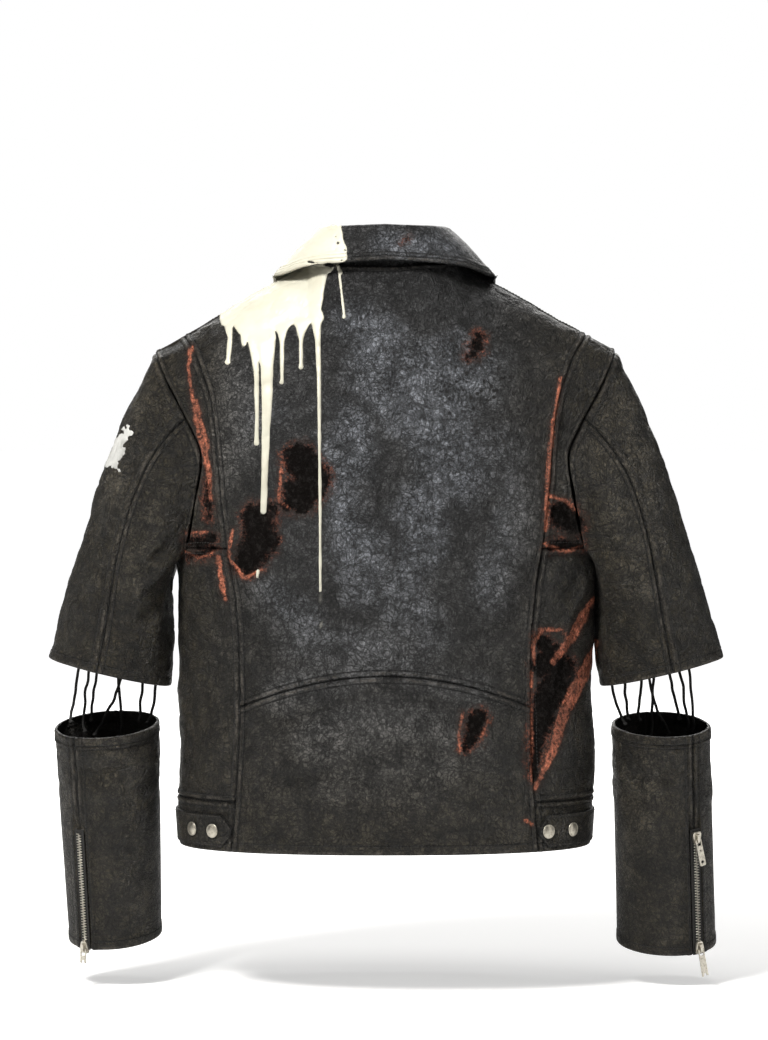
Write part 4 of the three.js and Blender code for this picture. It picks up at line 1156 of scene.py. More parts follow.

# %% The leather itself
# Each dye pair: the dye, then the same dye with a painted bluish sheen for the middle of the back.
# The last pair is the painted highlight colour of the polish patches.
DYE_AND_SHEEN = {"dark": ((0.0012, 0.0009, 0.0005), (0.0016, 0.0016, 0.0018)),
       "light": ((0.062, 0.052, 0.034), (0.080, 0.080, 0.082)),
       "painted_highlight": ((0.175, 0.155, 0.120), (0.270, 0.285, 0.315))}
BLACK, SOOT = (0.002, 0.002, 0.002), (0.003, 0.002, 0.0015)
LEATHER_VALUES = ("seam", "burn", "streak", "height", "inside", "painted", "stitched", "polish_and_sheen")


def new_material(name):
    material = bpy.data.materials.new(name)
    material.use_nodes = True
    return material, Wire(material.node_tree), material.node_tree.nodes["Principled BSDF"]


def placed_group(wire, group, **sockets):
    node = wire.add("ShaderNodeGroup", node_tree=group)
    for key, socket in sockets.items():
        wire.link(socket, node.inputs[key])
    return node.outputs


def leather_color(wire, place, value, grain, wear, scorch, cool_sheen, polish_and_sheen):
    """Dye with its painted sheen first, then what dirt, wear, fire and paint did to it."""
    dark, light, painted_highlight = (wire.mix(cool_sheen, *DYE_AND_SHEEN[key]) for key in ("dark", "light", "painted_highlight"))
    # On the polish patches the mottle's light tone becomes a painted highlight colour.
    color = wire.mix(grain["Mottle"], dark, wire.mix(polish_and_sheen, light, painted_highlight))
    color = wire.mix(wire.times(grain["Creased"], 0.7), color, BLACK)
    spot = wire.add("ShaderNodeVectorMath", {0: place, 1: (0.115, -0.105, -0.105)},
                    operation="DISTANCE").outputs["Value"]
    dots = wire.add("ShaderNodeTexVoronoi", {"Vector": place, "Scale": 150.0}).outputs["Distance"]
    dots = wire.times(wire.step(dots, 0.34, 0.22), wire.step(spot, 0.10, 0.04))
    color = wire.mix(wire.times(dots, 0.9), color, SOOT)
    color = wire.mix(wire.times(wear["Rubbed"], 0.5), color, (0.12, 0.105, 0.088))
    gully = wire.step(value["seam"], 1.3, 0.4)
    color = wire.mix(wire.times(gully, 0.9), color, (0.003, 0.003, 0.003))
    color = wire.mix(wire.times(wire.step(value["stitched"], 1.3, 0.3), 0.75), color, BLACK)
    color = wire.mix(wire.times(scorch["Singed"], 0.6), color, (0.022, 0.010, 0.006))
    color = wire.mix(scorch["Char"], color, SOOT)
    bright = wire.plus(wire.times(wire.step(value["streak"], 3.0, -1.0), 0.75), 0.25)
    bright = wire.times(bright, wire.step(wire.noise(place, 240.0, 5.0, 0.7), 0.36, 0.55))
    rust_tone = wire.mix(bright, (0.10, 0.022, 0.009), (0.78, 0.25, 0.14))
    color = wire.mix(scorch["Rust"], color, rust_tone)
    color = wire.mix(wire.times(value["inside"], 0.6), color, (0.012, 0.011, 0.010))
    return wire.mix(value["painted"], color, (0.56, 0.54, 0.45))


def leather_material():
    material, wire, shader = new_material("worn_leather")
    place = wire.add("ShaderNodeTexCoord").outputs["Object"]
    value = {key: wire.add("ShaderNodeAttribute", attribute_name=key).outputs["Fac"]
             for key in LEATHER_VALUES}
    grain = placed_group(wire, GRAIN, Place=place)
    wear = placed_group(wire, WEAR, Place=place, Seam=value["seam"], Height=value["height"])
    scorch = placed_group(wire, SCORCH, Place=place, Burn=value["burn"], Streak=value["streak"])
    middle = wire.add("ShaderNodeSeparateXYZ", {0: place})
    # Painted bluish sheen: this mask over the middle of the back turns each dye towards its second
    # colour.
    cool_sheen = wire.times(wire.step(wire.maths("ABSOLUTE", middle.outputs[0]), 0.21, 0.08),
                      wire.step(middle.outputs[2], -0.64, -0.24))
    # Polish patches; their painted highlight is stronger in the middle of the back.
    polish_and_sheen = wire.times(value["polish_and_sheen"], wire.plus(wire.times(cool_sheen, 0.45), 0.55))
    wire.link(leather_color(wire, place, value, grain, wear, scorch, cool_sheen, polish_and_sheen),
              shader.inputs["Base Color"])

    rough = wire.plus(wire.times(grain["Mottle"], -0.16), 0.42)
    rough = wire.less(rough, wire.times(polish_and_sheen, 0.10))
    rough = wire.plus(rough, wire.times(scorch["Singed"], 0.22))
    rough = wire.plus(rough, wire.times(grain["Creased"], 0.15), True)
    wire.link(rough, shader.inputs["Roughness"])
    shader.inputs["Specular IOR Level"].default_value = 0.32
    bumped = wire.less(grain["Height"], wire.times(scorch["Char"], 0.5))
    bumped = wire.plus(bumped, wire.times(scorch["Rust"], 0.25))
    bent = wire.bump(shader, bumped, 1.0, 0.0026)

    ash = wire.add("ShaderNodeBsdfDiffuse", {"Color": (0.004, 0.003, 0.0025, 1), "Normal": bent})
    burnt = wire.times(scorch["Char"], wire.less(1.0, scorch["Rust"]))
    both = wire.add("ShaderNodeMixShader", {0: wire.times(burnt, 0.85), 1: shader.outputs[0],
                                            2: ash.outputs[0]})
    wire.link(both.outputs[0], material.node_tree.nodes["Material Output"].inputs["Surface"])
    return material


LEATHER = leather_material()
print("leather with", len(LEATHER.node_tree.nodes), "nodes")

# %% [markdown]
# ## Cutting and joining the panels
# Every panel is built with its own edges: a seam sinks into a groove between two rolls, a hem is
# turned under and stitched, and a sleeve head stands up a little where the fullness is eased in.

# %% Body, sleeves and forearms
ALL_SEAMS = dict(left="seam", right="seam", bottom="seam", top="seam")
PANELS = [
    # name, surface, width and height in mm, step, edges, outward
    ("back_centre", back_centre, (330, 430), 2.6, ALL_SEAMS, 1),
    ("back_waist", back_waist, (310, 170), 2.8, ALL_SEAMS | dict(bottom="hem"), 1),
]
PAIRS = [
    ("gusset", gusset, (30, 230), 2.0, ALL_SEAMS, 1),
    ("side_panel", side_panel, (190, 255), 3.5, ALL_SEAMS, 1),
    ("side_band", side_band, (190, 49), 3.0, ALL_SEAMS | dict(bottom="hem"), 1),
    ("front", front, (220, 560), 4.8, ALL_SEAMS | dict(left="hem", bottom="hem"), -1),
    ("under_sleeve", under_sleeve, (270, 250), 3.6, ALL_SEAMS | dict(bottom="hem"), -1),
    ("top_sleeve", top_sleeve, (330, 300), 3.6,
     dict(left="head", right="head", bottom="hem", top="head"), -1),
]
FOREARM_WIDTH = {"outer": 135, "inner": 175}

for name, surface, size, step, edges, outward in PANELS:
    add_panel(name, surface, size, step, edges, outward, LEATHER)
for name, surface, size, step, edges, outward in PAIRS:
    add_panel(name + "_right", surface, size, step, edges, outward, LEATHER)
    add_panel(name + "_left", surface, size, step, edges, outward, LEATHER, mirrored=True)
for name, side in (("left", -1), ("right", 1)):
    for part, surface in (("outer", forearm_outer(side)), ("inner", forearm_inner(side))):
        edges = dict(left="seam", right="seam", bottom="hem", top="rim")
        edges["right" if part == "outer" else "left"] = "zip"
        add_panel(f"forearm_{part}_{name}", surface, (FOREARM_WIDTH[part], 222), 3.3, edges,
                  -side, LEATHER)
add_panel("collar_stand", collar_stand, (470, 36), 3.0, dict(top="seam"), 1, LEATHER, quiet=0.15)
add_panel("collar_fall", collar_fall, (520, 80), 2.4, dict(left="hem", right="hem", bottom="leaf"),
          1, LEATHER, quiet=0.3)
triangles = sum(len(entry["piece"].data.polygons) * 2 for entry in SHEETS.values())
print(len(SHEETS), "panels,", triangles, "triangles")

# %% [markdown]
# ## Waist tabs and snaps
# A tab is a strap of doubled leather lying on the side band, its free end cut to a blunt point.
# Each snap is a domed cap turned from sheet metal, with a rolled rim that bites into the leather.

# %% Tabs
TAB_LOW, TAB_HIGH = -571, -539
TAB_TIP_X = 155
TAB_OUT = 2.6


def tab_surface(s, t):
    z = lerp(TAB_LOW, TAB_HIGH, t)
    blunt = 10 * np.clip((np.abs(2 * t - 1) - 0.25) / 0.75, 0, 1)
    first = section_angle(TAB_TIP_X - 5 + blunt, z)
    last = math.pi - section_angle(front_side_x(z), z)
    angle = lerp(first, last, s)
    here = section_point(angle, z)
    ahead = section_point(angle + 0.01, z) - here
    out = np.stack([-ahead[..., 1], ahead[..., 0], 0 * z], -1)
    out *= np.sign(out[..., :1] * here[..., :1] + out[..., 1:2] * here[..., 1:2])
    return here + TAB_OUT * out / np.linalg.norm(out, axis=-1, keepdims=True)


for side, mirrored in (("right", False), ("left", True)):
    add_panel("adjuster_tab_" + side, tab_surface, (200, 32), 2.5,
              dict(left="tab", bottom="tab", top="tab"), 1, LEATHER, mirrored=mirrored, quiet=0.12)
print("tabs from x", TAB_TIP_X)

# %% Metal
def metal_material(name, color, roughness):
    """Plated metal, with dirt in patches and fine scratches."""
    material, wire, shader = new_material(name)
    place = wire.add("ShaderNodeTexCoord").outputs["Object"]
    stain = wire.step(wire.noise(place, 420.0, 6.0, 0.7), 0.45, 0.75)
    wire.link(wire.mix(wire.times(stain, 0.75), color, (0.16, 0.13, 0.09)),
              shader.inputs["Base Color"])
    wire.link(wire.plus(wire.times(stain, 0.3), roughness), shader.inputs["Roughness"])
    shader.inputs["Metallic"].default_value = 1.0
    wire.bump(shader, wire.noise(place, 1500.0, 4.0, 0.7), 0.12, 0.0003)
    return material


NICKEL = metal_material("aged_nickel", (0.50, 0.47, 0.40), 0.34)
STEEL = metal_material("zip_metal", (0.60, 0.57, 0.50), 0.30)
print("two metals")

# %% Snaps
SNAP_X = {"left": {"outer": 188, "inner": 168}, "right": {"outer": 183, "inner": 159}}
SNAP_HEIGHT = -555.0
CAP_SEAT = 1.2
SNAP_PROFILE = [(0, 2.35), (2.2, 2.25), (4.2, 1.95), (5.4, 1.5), (5.9, 1.25), (6.2, 1.35),
                (6.6, 1.35), (6.95, 1.0), (7.0, 0.55), (6.7, 0.1), (0, 0)]


def turned(profile, sides=40):
    """Vertices and faces of a closed turned shape with its axis along z."""
    rings = [np.array([[r * math.cos(a), r * math.sin(a), h]
                       for a in np.linspace(0, 2 * math.pi, sides, False)]) for r, h in profile[1:-1]]
    vertices = np.concatenate([[[0, 0, profile[0][1]]], *rings, [[0, 0, profile[-1][1]]]])
    last_ring = 1 + (len(rings) - 1) * sides
    faces = []
    for k in range(sides):
        n = (k + 1) % sides
        faces.append((0, 1 + k, 1 + n))
        for a in range(1, last_ring, sides):
            faces.append((a + k, a + sides + k, a + sides + n))
            faces.append((a + k, a + sides + n, a + n))
        faces.append((last_ring + k, len(vertices) - 1, last_ring + n))
    return vertices, np.array(faces)


def snap_facing(x, sign):
    """The level direction in which the side band faces at a snap."""
    angle = section_angle(x, SNAP_HEIGHT)
    here, ahead = section_point(angle, SNAP_HEIGHT), section_point(angle + 0.01, SNAP_HEIGHT)
    slope = unit(ahead - here)
    out = np.array([slope[1], -slope[0], 0])
    return unit(out * np.sign(out @ np.array([here[0], here[1], 0]))) * np.array([sign, 1, 1])


for side, sign in (("left", -1), ("right", 1)):
    for row, x in SNAP_X[side].items():
        node = f"snap_{side}_{row}"
        low, high = (np.array(corner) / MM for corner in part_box(node))
        out, up = snap_facing(x, sign), np.array([0, 0, 1])
        vertices, faces = turned(SNAP_PROFILE)
        basis = np.stack([np.cross(up, out), up, out])
        seat = (low + high) / 2 - out * CAP_SEAT
        piece = add_mesh(node + "_cap", vertices @ basis + seat, faces, NICKEL)
        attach(piece, "root")
        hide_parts(node)
print("snaps 14 mm across")

# %% [markdown]
# ## Spilled paint
# House paint ran down from the collar and shoulder while it was wet. Its outline is the edge of
# a few overlapping shapes: a pool over the yoke and drips that end in a bead. The leather surface is
# cut along that outline on a fine grid, and lifted into a thin coat that is thickest inside.

# %% Paint outline, drawn in mm
POOL = [
    (-168, -38), (-120, 8), (-52, 14), (-58, -6), (-61, -24), (-64, -42), (-61, -50), (-65, -57),
    (-74, -55), (-81, -64), (-92, -56), (-100, -64), (-112, -62), (-120, -76), (-132, -74),
    (-138, -64), (-146, -66), (-151, -58), (-163, -57), (-165, -48),
]
COLLAR_POOL = [
    (-135, -50), (-135, 60), (-46, 60), (-43, 30), (-38, 18), (-38, 9), (-44, 3), (-50, -12),
    (-95, -30),
]
FRONT_POOL = [
    (-165, 20), (-162, -48), (-152, -58), (-140, -44), (-120, -68), (-104, -40), (-88, -54),
    (-78, -22), (-74, 20),
]
PATCH = [
    (-262, -158), (-253, -160), (-251, -166), (-258, -174), (-262, -187), (-266, -203),
    (-274, -198), (-280, -198), (-278, -186), (-274, -178), (-277, -168), (-268, -168),
]
DRIPS = [
    [(-157, -52, 5), (-155, -70, 2.4), (-157, -92, 2.2), (-157.5, -94, 3.0)],
    [(-120, -70, 11), (-118, -98, 6.4), (-118, -130, 5.4), (-119, -160, 4.2),
      (-120.5, -215, 3.2), (-121.5, -243, 3.1)],
    [(-132, -72, 5), (-128.5, -104, 2.6), (-128, -150, 2.0), (-128.5, -172, 2.0),
      (-128.5, -175, 2.8)],
    [(-103, -58, 6), (-103, -74, 2.2), (-103, -112, 1.7), (-103.5, -114, 2.5)],
    [(-84, -56, 6), (-84, -72, 2.0), (-84, -96, 1.6), (-84, -99, 2.4)],
    [(-69, -52, 5), (-67, -72, 2.6), (-66, -120, 1.7), (-65, -220, 1.4), (-64.5, -352, 1.2),
      (-64, -358, 2.0)], [(-47, 6, 1.6), (-44, -20, 1.0), (-41, -46, 1.1), (-41, -49, 1.7)],
    [(-140, -62, 5), (-141, -76, 2.2)], [(-127, -303, 1.7), (-127.5, -309, 1.2)],
    [(-50, 8, 3), (-56, -2, 3)], [(-44, -3, 1.2), (-43.5, -5, 1.2)],
]
BARE = [[(-58, 4, 2.0), (-52, 2, 1.4)], [(-76, 6, 0.8), (-68, 5, 0.7)]]


def polygon_distance(place, outline):
    """Signed distance to a closed outline, negative inside."""
    line = np.array(outline + outline[:1], float)
    gap = stroke_distance(place, [(x, z, 0) for x, z in line])[0]
    x, z = place[..., 0], place[..., 1]
    inside = np.zeros(x.shape, bool)
    for (x0, z0), (x1, z1) in zip(line[:-1], line[1:]):
        if z0 != z1:
            inside ^= ((z0 > z) != (z1 > z)) & (x < (x1 - x0) * (z - z0) / (z1 - z0) + x0)
    return np.where(inside, -gap, gap)


def ragged(place, scale, seed):
    """Noise on the drawing, for a torn edge."""
    return noise(np.concatenate([place, 0 * place[..., :1]], -1), scale, seed)


print("paint outlines:", len(POOL), "corners round the pool")

# %% Where the paint lies: fields that are negative under it, in mm
def cut_bare(field, place):
    for line in BARE:
        field = np.maximum(field, -(stroke_distance(place, line)[0] + ragged(place, 3, 23)))
    return field


def paint_on_back(p):
    place = drawn(p)
    field = polygon_distance(place, POOL) + ragged(place, 7, 21) * 1.2
    for line in DRIPS:
        shape = stroke_distance(place, line)[0] + ragged(place, 9, 22) * 0.3
        blend = np.clip(0.5 + 0.5 * (shape - field) / 2, 0, 1)
        field = lerp(shape, field, blend) - 2 * blend * (1 - blend)
    return cut_bare(field, place)


def paint_on_collar(p):
    """The pool on the collar, breaking up into drops near its right end."""
    place = drawn(p)
    field = polygon_distance(place, COLLAR_POOL) + ragged(place, 6, 24) * 1.6
    drops = ragged(place, 3.4, 25) * 4 - 2.2
    field = np.maximum(field, lerp(-9, drops, smooth(-56, -48, place[..., 0])))
    return cut_bare(field, place) + 60 * smooth(30, 46, p[..., 1])


def paint_on_front(p):
    place = np.stack([p[..., 0], p[..., 2]], -1)
    return polygon_distance(place, FRONT_POOL) + ragged(place, 8, 26) * 2


def paint_on_sleeve(p):
    place = drawn(p)
    rough_edge = ragged(place, 4.2, 27) * 4.2 + ragged(place, 2.0, 28) * 2.4
    return polygon_distance(place, PATCH) + rough_edge + 0.6


print("paint fields:", len(DRIPS), "drips")

# %% Coat helpers
GRID_GAP = 2.1
COAT_SINK = 0.35


def refined(sheet, step, window):
    """A finer grid over the part of a panel in a window (x low, x high, z low, z high)."""
    outer, normal = sheet["outer"], sheet["normal"]
    place = drawn(outer)
    inside = ((place[..., 0] > window[0]) & (place[..., 0] < window[1])
              & (place[..., 1] > window[2]) & (place[..., 1] < window[3]))
    parts = max(1, round(GRID_GAP / step))

    def finer(hits, last):
        used = np.where(hits)[0]
        first, stop = used[0], min(used[-1] + 1, last)
        return np.linspace(first, stop, int((stop - first) * parts) + 1)

    u, v = finer(inside.any(0), outer.shape[1] - 1), finer(inside.any(1), len(outer) - 1)

    def sample(field):
        i = np.minimum(v.astype(int), len(field) - 2)
        f = (v - i)[:, None, None]
        down = field[i] * (1 - f) + field[i + 1] * f
        j = np.minimum(u.astype(int), field.shape[1] - 2)
        g = (u - j)[None, :, None]
        return down[:, j] * (1 - g) + down[:, j + 1] * g

    return sample(outer), sample(normal)


def grid_triangles(shape):
    index = np.arange(shape[0] * shape[1]).reshape(shape[:2])
    a, b, c, d = index[:-1, :-1], index[:-1, 1:], index[1:, 1:], index[1:, :-1]
    return np.concatenate([np.stack([a, b, c], -1).reshape(-1, 3),
                           np.stack([a, c, d], -1).reshape(-1, 3)])


def cut_out(triangles, field):
    """The triangles where a field is negative, cut along its zero line.

    Gives faces, and for each new vertex the two old ones it lies between and their shares."""
    inside = field < 0
    new_index, blends, faces = {}, [], []

    def vertex(i, j, share):
        if (i, j) not in new_index:
            new_index[i, j] = len(blends)
            blends.append((i, j, share))
        return new_index[i, j]

    for triangle in triangles[inside[triangles].any(1)].tolist():
        loop = []
        for i, j in zip(triangle, triangle[1:] + triangle[:1]):
            if inside[i]:
                loop.append(vertex(i, i, 0.0))
            if inside[i] != inside[j]:
                low, high = min(i, j), max(i, j)
                loop.append(vertex(low, high, field[low] / (field[low] - field[high])))
        faces += [(loop[0], loop[k], loop[k + 1]) for k in range(1, len(loop) - 1)]
    i, j, share = (np.array(column) for column in zip(*blends))
    return np.array(faces), i, j, share


def rim_walls(faces, count):
    """Two triangles for each open edge, down to a second layer of the same vertices."""
    edges = np.concatenate([faces[:, [0, 1]], faces[:, [1, 2]], faces[:, [2, 0]]])
    keys = {tuple(edge) for edge in edges.tolist()}
    rim = np.array([edge for edge in keys if (edge[1], edge[0]) not in keys])
    first, second = rim[:, 1], rim[:, 0]
    return np.concatenate([np.stack([first, second, second + count], -1),
                           np.stack([first, second + count, first + count], -1)])


print("coat helpers ready")

# %% The coat
def coat(name, sheet, field_of, window, thickness, material, step=1.1, base=0.25):
    """A closed coat over a panel wherever a field of the place is negative."""
    surface, normal = refined(SHEETS[sheet], step, window)
    triangles = grid_triangles(surface.shape)
    field = field_of(surface).ravel()
    surface, normal = surface.reshape(-1, 3), normal.reshape(-1, 3)
    normal = normal / np.linalg.norm(normal, axis=-1, keepdims=True)
    faces, i, j, share = cut_out(triangles, field)
    place, out, depth = (lerp(values[i], values[j], share.reshape(-1, *[1] * (values.ndim - 1)))
                         for values in (surface, normal, field))
    rise = base + thickness * (1 - np.exp(depth / 1.1)) + 0.12 * noise(place, 5, 30)
    rise = np.where(depth > -1e-6, 0.1, np.maximum(rise, 0.12))
    layers = np.concatenate([place + out * rise[:, None], place - out * COAT_SINK])
    count = len(place)
    shell = np.concatenate([faces, faces[:, ::-1] + count, rim_walls(faces, count)])
    a, b, c = (place[faces[:, k]] for k in range(3))
    flip = np.sum(np.cross(b - a, c - a) * out[faces[:, 0]]) < 0
    piece = add_mesh(name, layers, shell, material, flip)
    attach(piece, "root")
    return piece


def soak(sheet, field_of):
    """Marks a panel's own leather as painted, so its cut edge is white under the coat."""
    mask = smooth(-0.8, -2.4, field_of(SHEETS[sheet]["outer"])).ravel()
    layer = SHEETS[sheet]["piece"].data.attributes.new("painted", "FLOAT", "POINT")
    layer.data.foreach_set("value", np.concatenate([mask, mask]).astype(np.float32))


def paint_material(name, color, second):
    material, wire, shader = new_material(name)
    place = wire.add("ShaderNodeTexCoord").outputs["Object"]
    tone = wire.mix(wire.step(wire.noise(place, 40.0, 5.0, 0.6), 0.4, 0.7), color, second)
    flecks = wire.step(wire.noise(place, 330.0, 5.0, 0.75), 0.70, 0.74)
    wire.link(wire.mix(flecks, tone, (0.05, 0.04, 0.03)), shader.inputs["Base Color"])
    shader.inputs["Roughness"].default_value = 0.42
    skin = wire.plus(wire.noise(place, 110.0, 4.0, 0.6),
                     wire.times(wire.noise(place, 700.0, 3.0, 0.6), 0.3))
    wire.bump(shader, skin, 0.35, 0.0008)
    return material


IVORY = paint_material("ivory_paint", (0.51, 0.495, 0.41), (0.48, 0.46, 0.37))
CHALK = paint_material("chalky_paint", (0.50, 0.50, 0.48), (0.24, 0.24, 0.23))
for name, field_of in (("back_centre", paint_on_back), ("collar_fall", paint_on_collar),
                       ("collar_stand", paint_on_collar), ("front_left", paint_on_front)):
    soak(name, field_of)
PAINT = [
    coat("paint_back", "back_centre", paint_on_back, (-175, -34, -320, 20), 0.9, IVORY),
    coat("paint_collar", "collar_fall", paint_on_collar, (-135, -30, -50, 60), 0.8, IVORY),
    coat("paint_front", "front_left", paint_on_front, (-175, -60, -75, 20), 0.7, IVORY),
    coat("paint_sleeve", "top_sleeve_left", paint_on_sleeve, (-290, -240, -215, -145), 0.3, CHALK,
         0.7, 0.15),
]
print("paint", [len(piece.data.polygons) for piece in PAINT], "triangles")

# %% [markdown]
# ## Rows of stitches and zip teeth
# A seam line holds hundreds of equal stitches, and a zip chain a hundred equal teeth. Geometry
# Nodes sets them out: a guide line is cut into even steps, one small shape is put on each
# point, turned with the line and with the surface it lies on, and the copies become real mesh.

# %% Row tool
def row_tree():
    """Equal copies of a piece, one pitch apart along every guide line."""
    group = bpy.data.node_groups.new("row_of_pieces", "GeometryNodeTree")
    group.interface.new_socket("Geometry", in_out="INPUT", socket_type="NodeSocketGeometry")
    for key, kind in (("Pitch", "NodeSocketFloat"), ("Piece", "NodeSocketObject"),
                      ("Unevenness", "NodeSocketFloat"), ("Seed", "NodeSocketInt"),
                      ("Finish", "NodeSocketMaterial")):
        group.interface.new_socket(key, in_out="INPUT", socket_type=kind)
    group.interface.new_socket("Geometry", in_out="OUTPUT", socket_type="NodeSocketGeometry")
    wire = Wire(group)
    entry, leave = wire.add("NodeGroupInput"), wire.add("NodeGroupOutput")
    facing = wire.add("GeometryNodeInputNamedAttribute", {"Name": "out"},
                      data_type="FLOAT_VECTOR").outputs[0]
    curve = wire.add("GeometryNodeMeshToCurve", {0: entry.outputs["Geometry"]}).outputs[0]
    kept = wire.add("GeometryNodeCaptureAttribute", {"Geometry": curve})
    kept.capture_items.new("VECTOR", "out")
    wire.link(facing, kept.inputs[1])
    even = wire.add("GeometryNodeResampleCurve",
                    {"Curve": kept.outputs[0], "Length": entry.outputs["Pitch"]}, mode="LENGTH")
    dots = wire.add("GeometryNodeCurveToPoints", {"Curve": even.outputs[0]}, mode="EVALUATED")
    turn = wire.add("FunctionNodeAxesToRotation", {0: kept.outputs[1], 1: dots.outputs["Tangent"]},
                    primary_axis="Z", secondary_axis="X")
    low = wire.less(1.0, entry.outputs["Unevenness"])
    high = wire.plus(1.0, entry.outputs["Unevenness"])
    size = wire.add("FunctionNodeRandomValue", {"Seed": entry.outputs["Seed"]}, data_type="FLOAT")
    wire.link(low, size.inputs[2])
    wire.link(high, size.inputs[3])
    shape = wire.add("GeometryNodeObjectInfo", {"Object": entry.outputs["Piece"]})
    copies = wire.add("GeometryNodeInstanceOnPoints", {
        "Points": dots.outputs["Points"], "Instance": shape.outputs["Geometry"],
        "Rotation": turn.outputs[0]})
    wire.link(size.outputs[1], copies.inputs["Scale"])
    real = wire.add("GeometryNodeRealizeInstances", {0: copies.outputs[0]})
    done = wire.add("GeometryNodeSetMaterial", {"Geometry": real.outputs[0],
                                                "Material": entry.outputs["Finish"]})
    wire.link(done.outputs[0], leave.inputs[0])
    return group


ROW_TREE = row_tree()


def set_out(name, lines, pitch, shape, material, unevenness=0.0, seed=1):
    """A plain mesh of copies of shape along guide lines; each line is (points, outward), in mm."""
    vertices = np.concatenate([line for line, _ in lines])
    out = np.concatenate([facing for _, facing in lines])
    edges, start = [], 0
    for line, _ in lines:
        edges += [(start + k, start + k + 1) for k in range(len(line) - 1)]
        start += len(line)
    mesh = bpy.data.meshes.new(name + "_guide")
    mesh.from_pydata((vertices * MM).tolist(), edges, [])
    layer = mesh.attributes.new("out", "FLOAT_VECTOR", "POINT")
    layer.data.foreach_set("vector", out.astype(np.float32).ravel())
    guide = bpy.data.objects.new(name + "_guide", mesh)
    bpy.context.scene.collection.objects.link(guide)
    modifier = guide.modifiers.new("row", "NODES")
    modifier.node_group = ROW_TREE
    socket = {item.name: item.identifier for item in ROW_TREE.interface.items_tree
              if item.in_out == "INPUT"}
    for key, value in (("Pitch", pitch * MM), ("Piece", shape), ("Unevenness", unevenness),
                       ("Seed", seed), ("Finish", material)):
        modifier[socket[key]] = value
    depsgraph = bpy.context.evaluated_depsgraph_get()
    made = bpy.data.meshes.new_from_object(guide.evaluated_get(depsgraph))
    made.name = name
    made.polygons.foreach_set("use_smooth", np.ones(len(made.polygons), bool))
    piece = bpy.data.objects.new(name, made)
    bpy.context.scene.collection.objects.link(piece)
    bpy.data.objects.remove(guide)
    bpy.data.objects.remove(shape)
    return piece


def small_shape(name, vertices, faces):
    mesh = bpy.data.meshes.new(name)
    mesh.from_pydata([tuple(c * MM for c in v) for v in vertices], [], faces)
    return bpy.data.objects.new(name, mesh)


def stitch_shape(length=2.7, width=0.36, height=0.3, sides=4):
    """A small hump of thread whose ends dip into the leather."""
    sections = [(-0.5, 0.35, -0.6), (-0.28, 1, 0.4), (0.28, 1, 0.4), (0.5, 0.35, -0.6)]
    vertices = [(length * x, width * r * math.cos(a), height * (lift + r * math.sin(a)))
                for x, r, lift in sections for a in np.linspace(0, 2 * math.pi, sides, False)]
    faces = []
    for start in range(0, 3 * sides, sides):
        for j in range(sides):
            n = (j + 1) % sides
            faces.append((start + sides + j, start + sides + n, start + n, start + j))
    last = 4 * sides - 1
    ends = [tuple(range(sides)), tuple(range(last, last - sides, -1))]
    return small_shape("stitch", vertices, faces + ends)


# %% Stitch lines
def inside_line(sheet, side, d, skip=3.0):
    """The line at a distance from one edge of a panel, stopping short of the corners."""
    outer, normal = sheet["outer"], sheet["normal"]
    if side in ("bottom", "top"):
        outer, normal = outer.transpose(1, 0, 2), normal.transpose(1, 0, 2)
    if side in ("right", "top"):
        outer, normal = outer[:, ::-1], normal[:, ::-1]
    travel = edge_distances(outer)["left"]
    line, facing = (np.array([[np.interp(d, travel[r], field[r, :, k]) for k in range(3)]
                              for r in range(len(outer))]) for field in (outer, normal))
    length = np.concatenate([[0], np.cumsum(np.linalg.norm(np.diff(line, axis=0), axis=1))])
    kept = (length > skip) & (length < length[-1] - skip)
    return line[kept], facing[kept]


STITCH_PITCH = 3.4
STITCHED = {
    "back_centre": [("left", 6.2), ("right", 6.2), ("top", 6.2)],
    "back_waist": [("top", 6.2), ("left", 6.2), ("right", 6.2), ("bottom", 9)],
    "gusset": [("bottom", 6.2)], "side_panel": [("top", 6.2), ("bottom", 6.2), ("left", 6.2)],
    "side_band": [("bottom", 9)], "front": [("left", 9), ("bottom", 9), ("top", 6.2), ("right", 6.2)],
    "under_sleeve": [("left", 6.2), ("bottom", 9)],
    "top_sleeve": [("left", 8), ("right", 8), ("bottom", 9)],
    "forearm_outer": [("left", 6.2), ("top", 8), ("top", 12), ("bottom", 9), ("right", 9.3)],
    "forearm_inner": [("top", 8), ("top", 12), ("bottom", 9), ("left", 9.3)],
    "adjuster_tab": [("left", 3.6), ("top", 3.6), ("bottom", 3.6)],
    "collar_fall": [("bottom", 4), ("bottom", 8), ("left", 5), ("right", 5)],
}
lines = []
for name, sheet in SHEETS.items():
    for stem, sides in STITCHED.items():
        if name.startswith(stem):
            lines += [inside_line(sheet, side, d) for side, d in sides]
THREAD = simple_material("black_thread", (0.016, 0.015, 0.014), 0.7)
stitches = set_out("stitches", lines, STITCH_PITCH, stitch_shape(), THREAD, 0.08, 3)
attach(stitches, "root")
print("stitches:", len(stitches.data.polygons), "faces")

# %% [markdown]
# ## Zips
# A zip is two woven tapes with metal teeth pressed on their edges, one side half a step behind
# the other. The forearm zips are closed, and each ends in a slider with a loose pull tab.

# %% Teeth
TOOTH_PITCH = 2.8
TAPE_TOP = 1.4
FRONT_SINK = 3.2
FORE_ZIPS = {"left": (-1, 0.55, 0.045), "right": (1, 0.508, 0.07)}


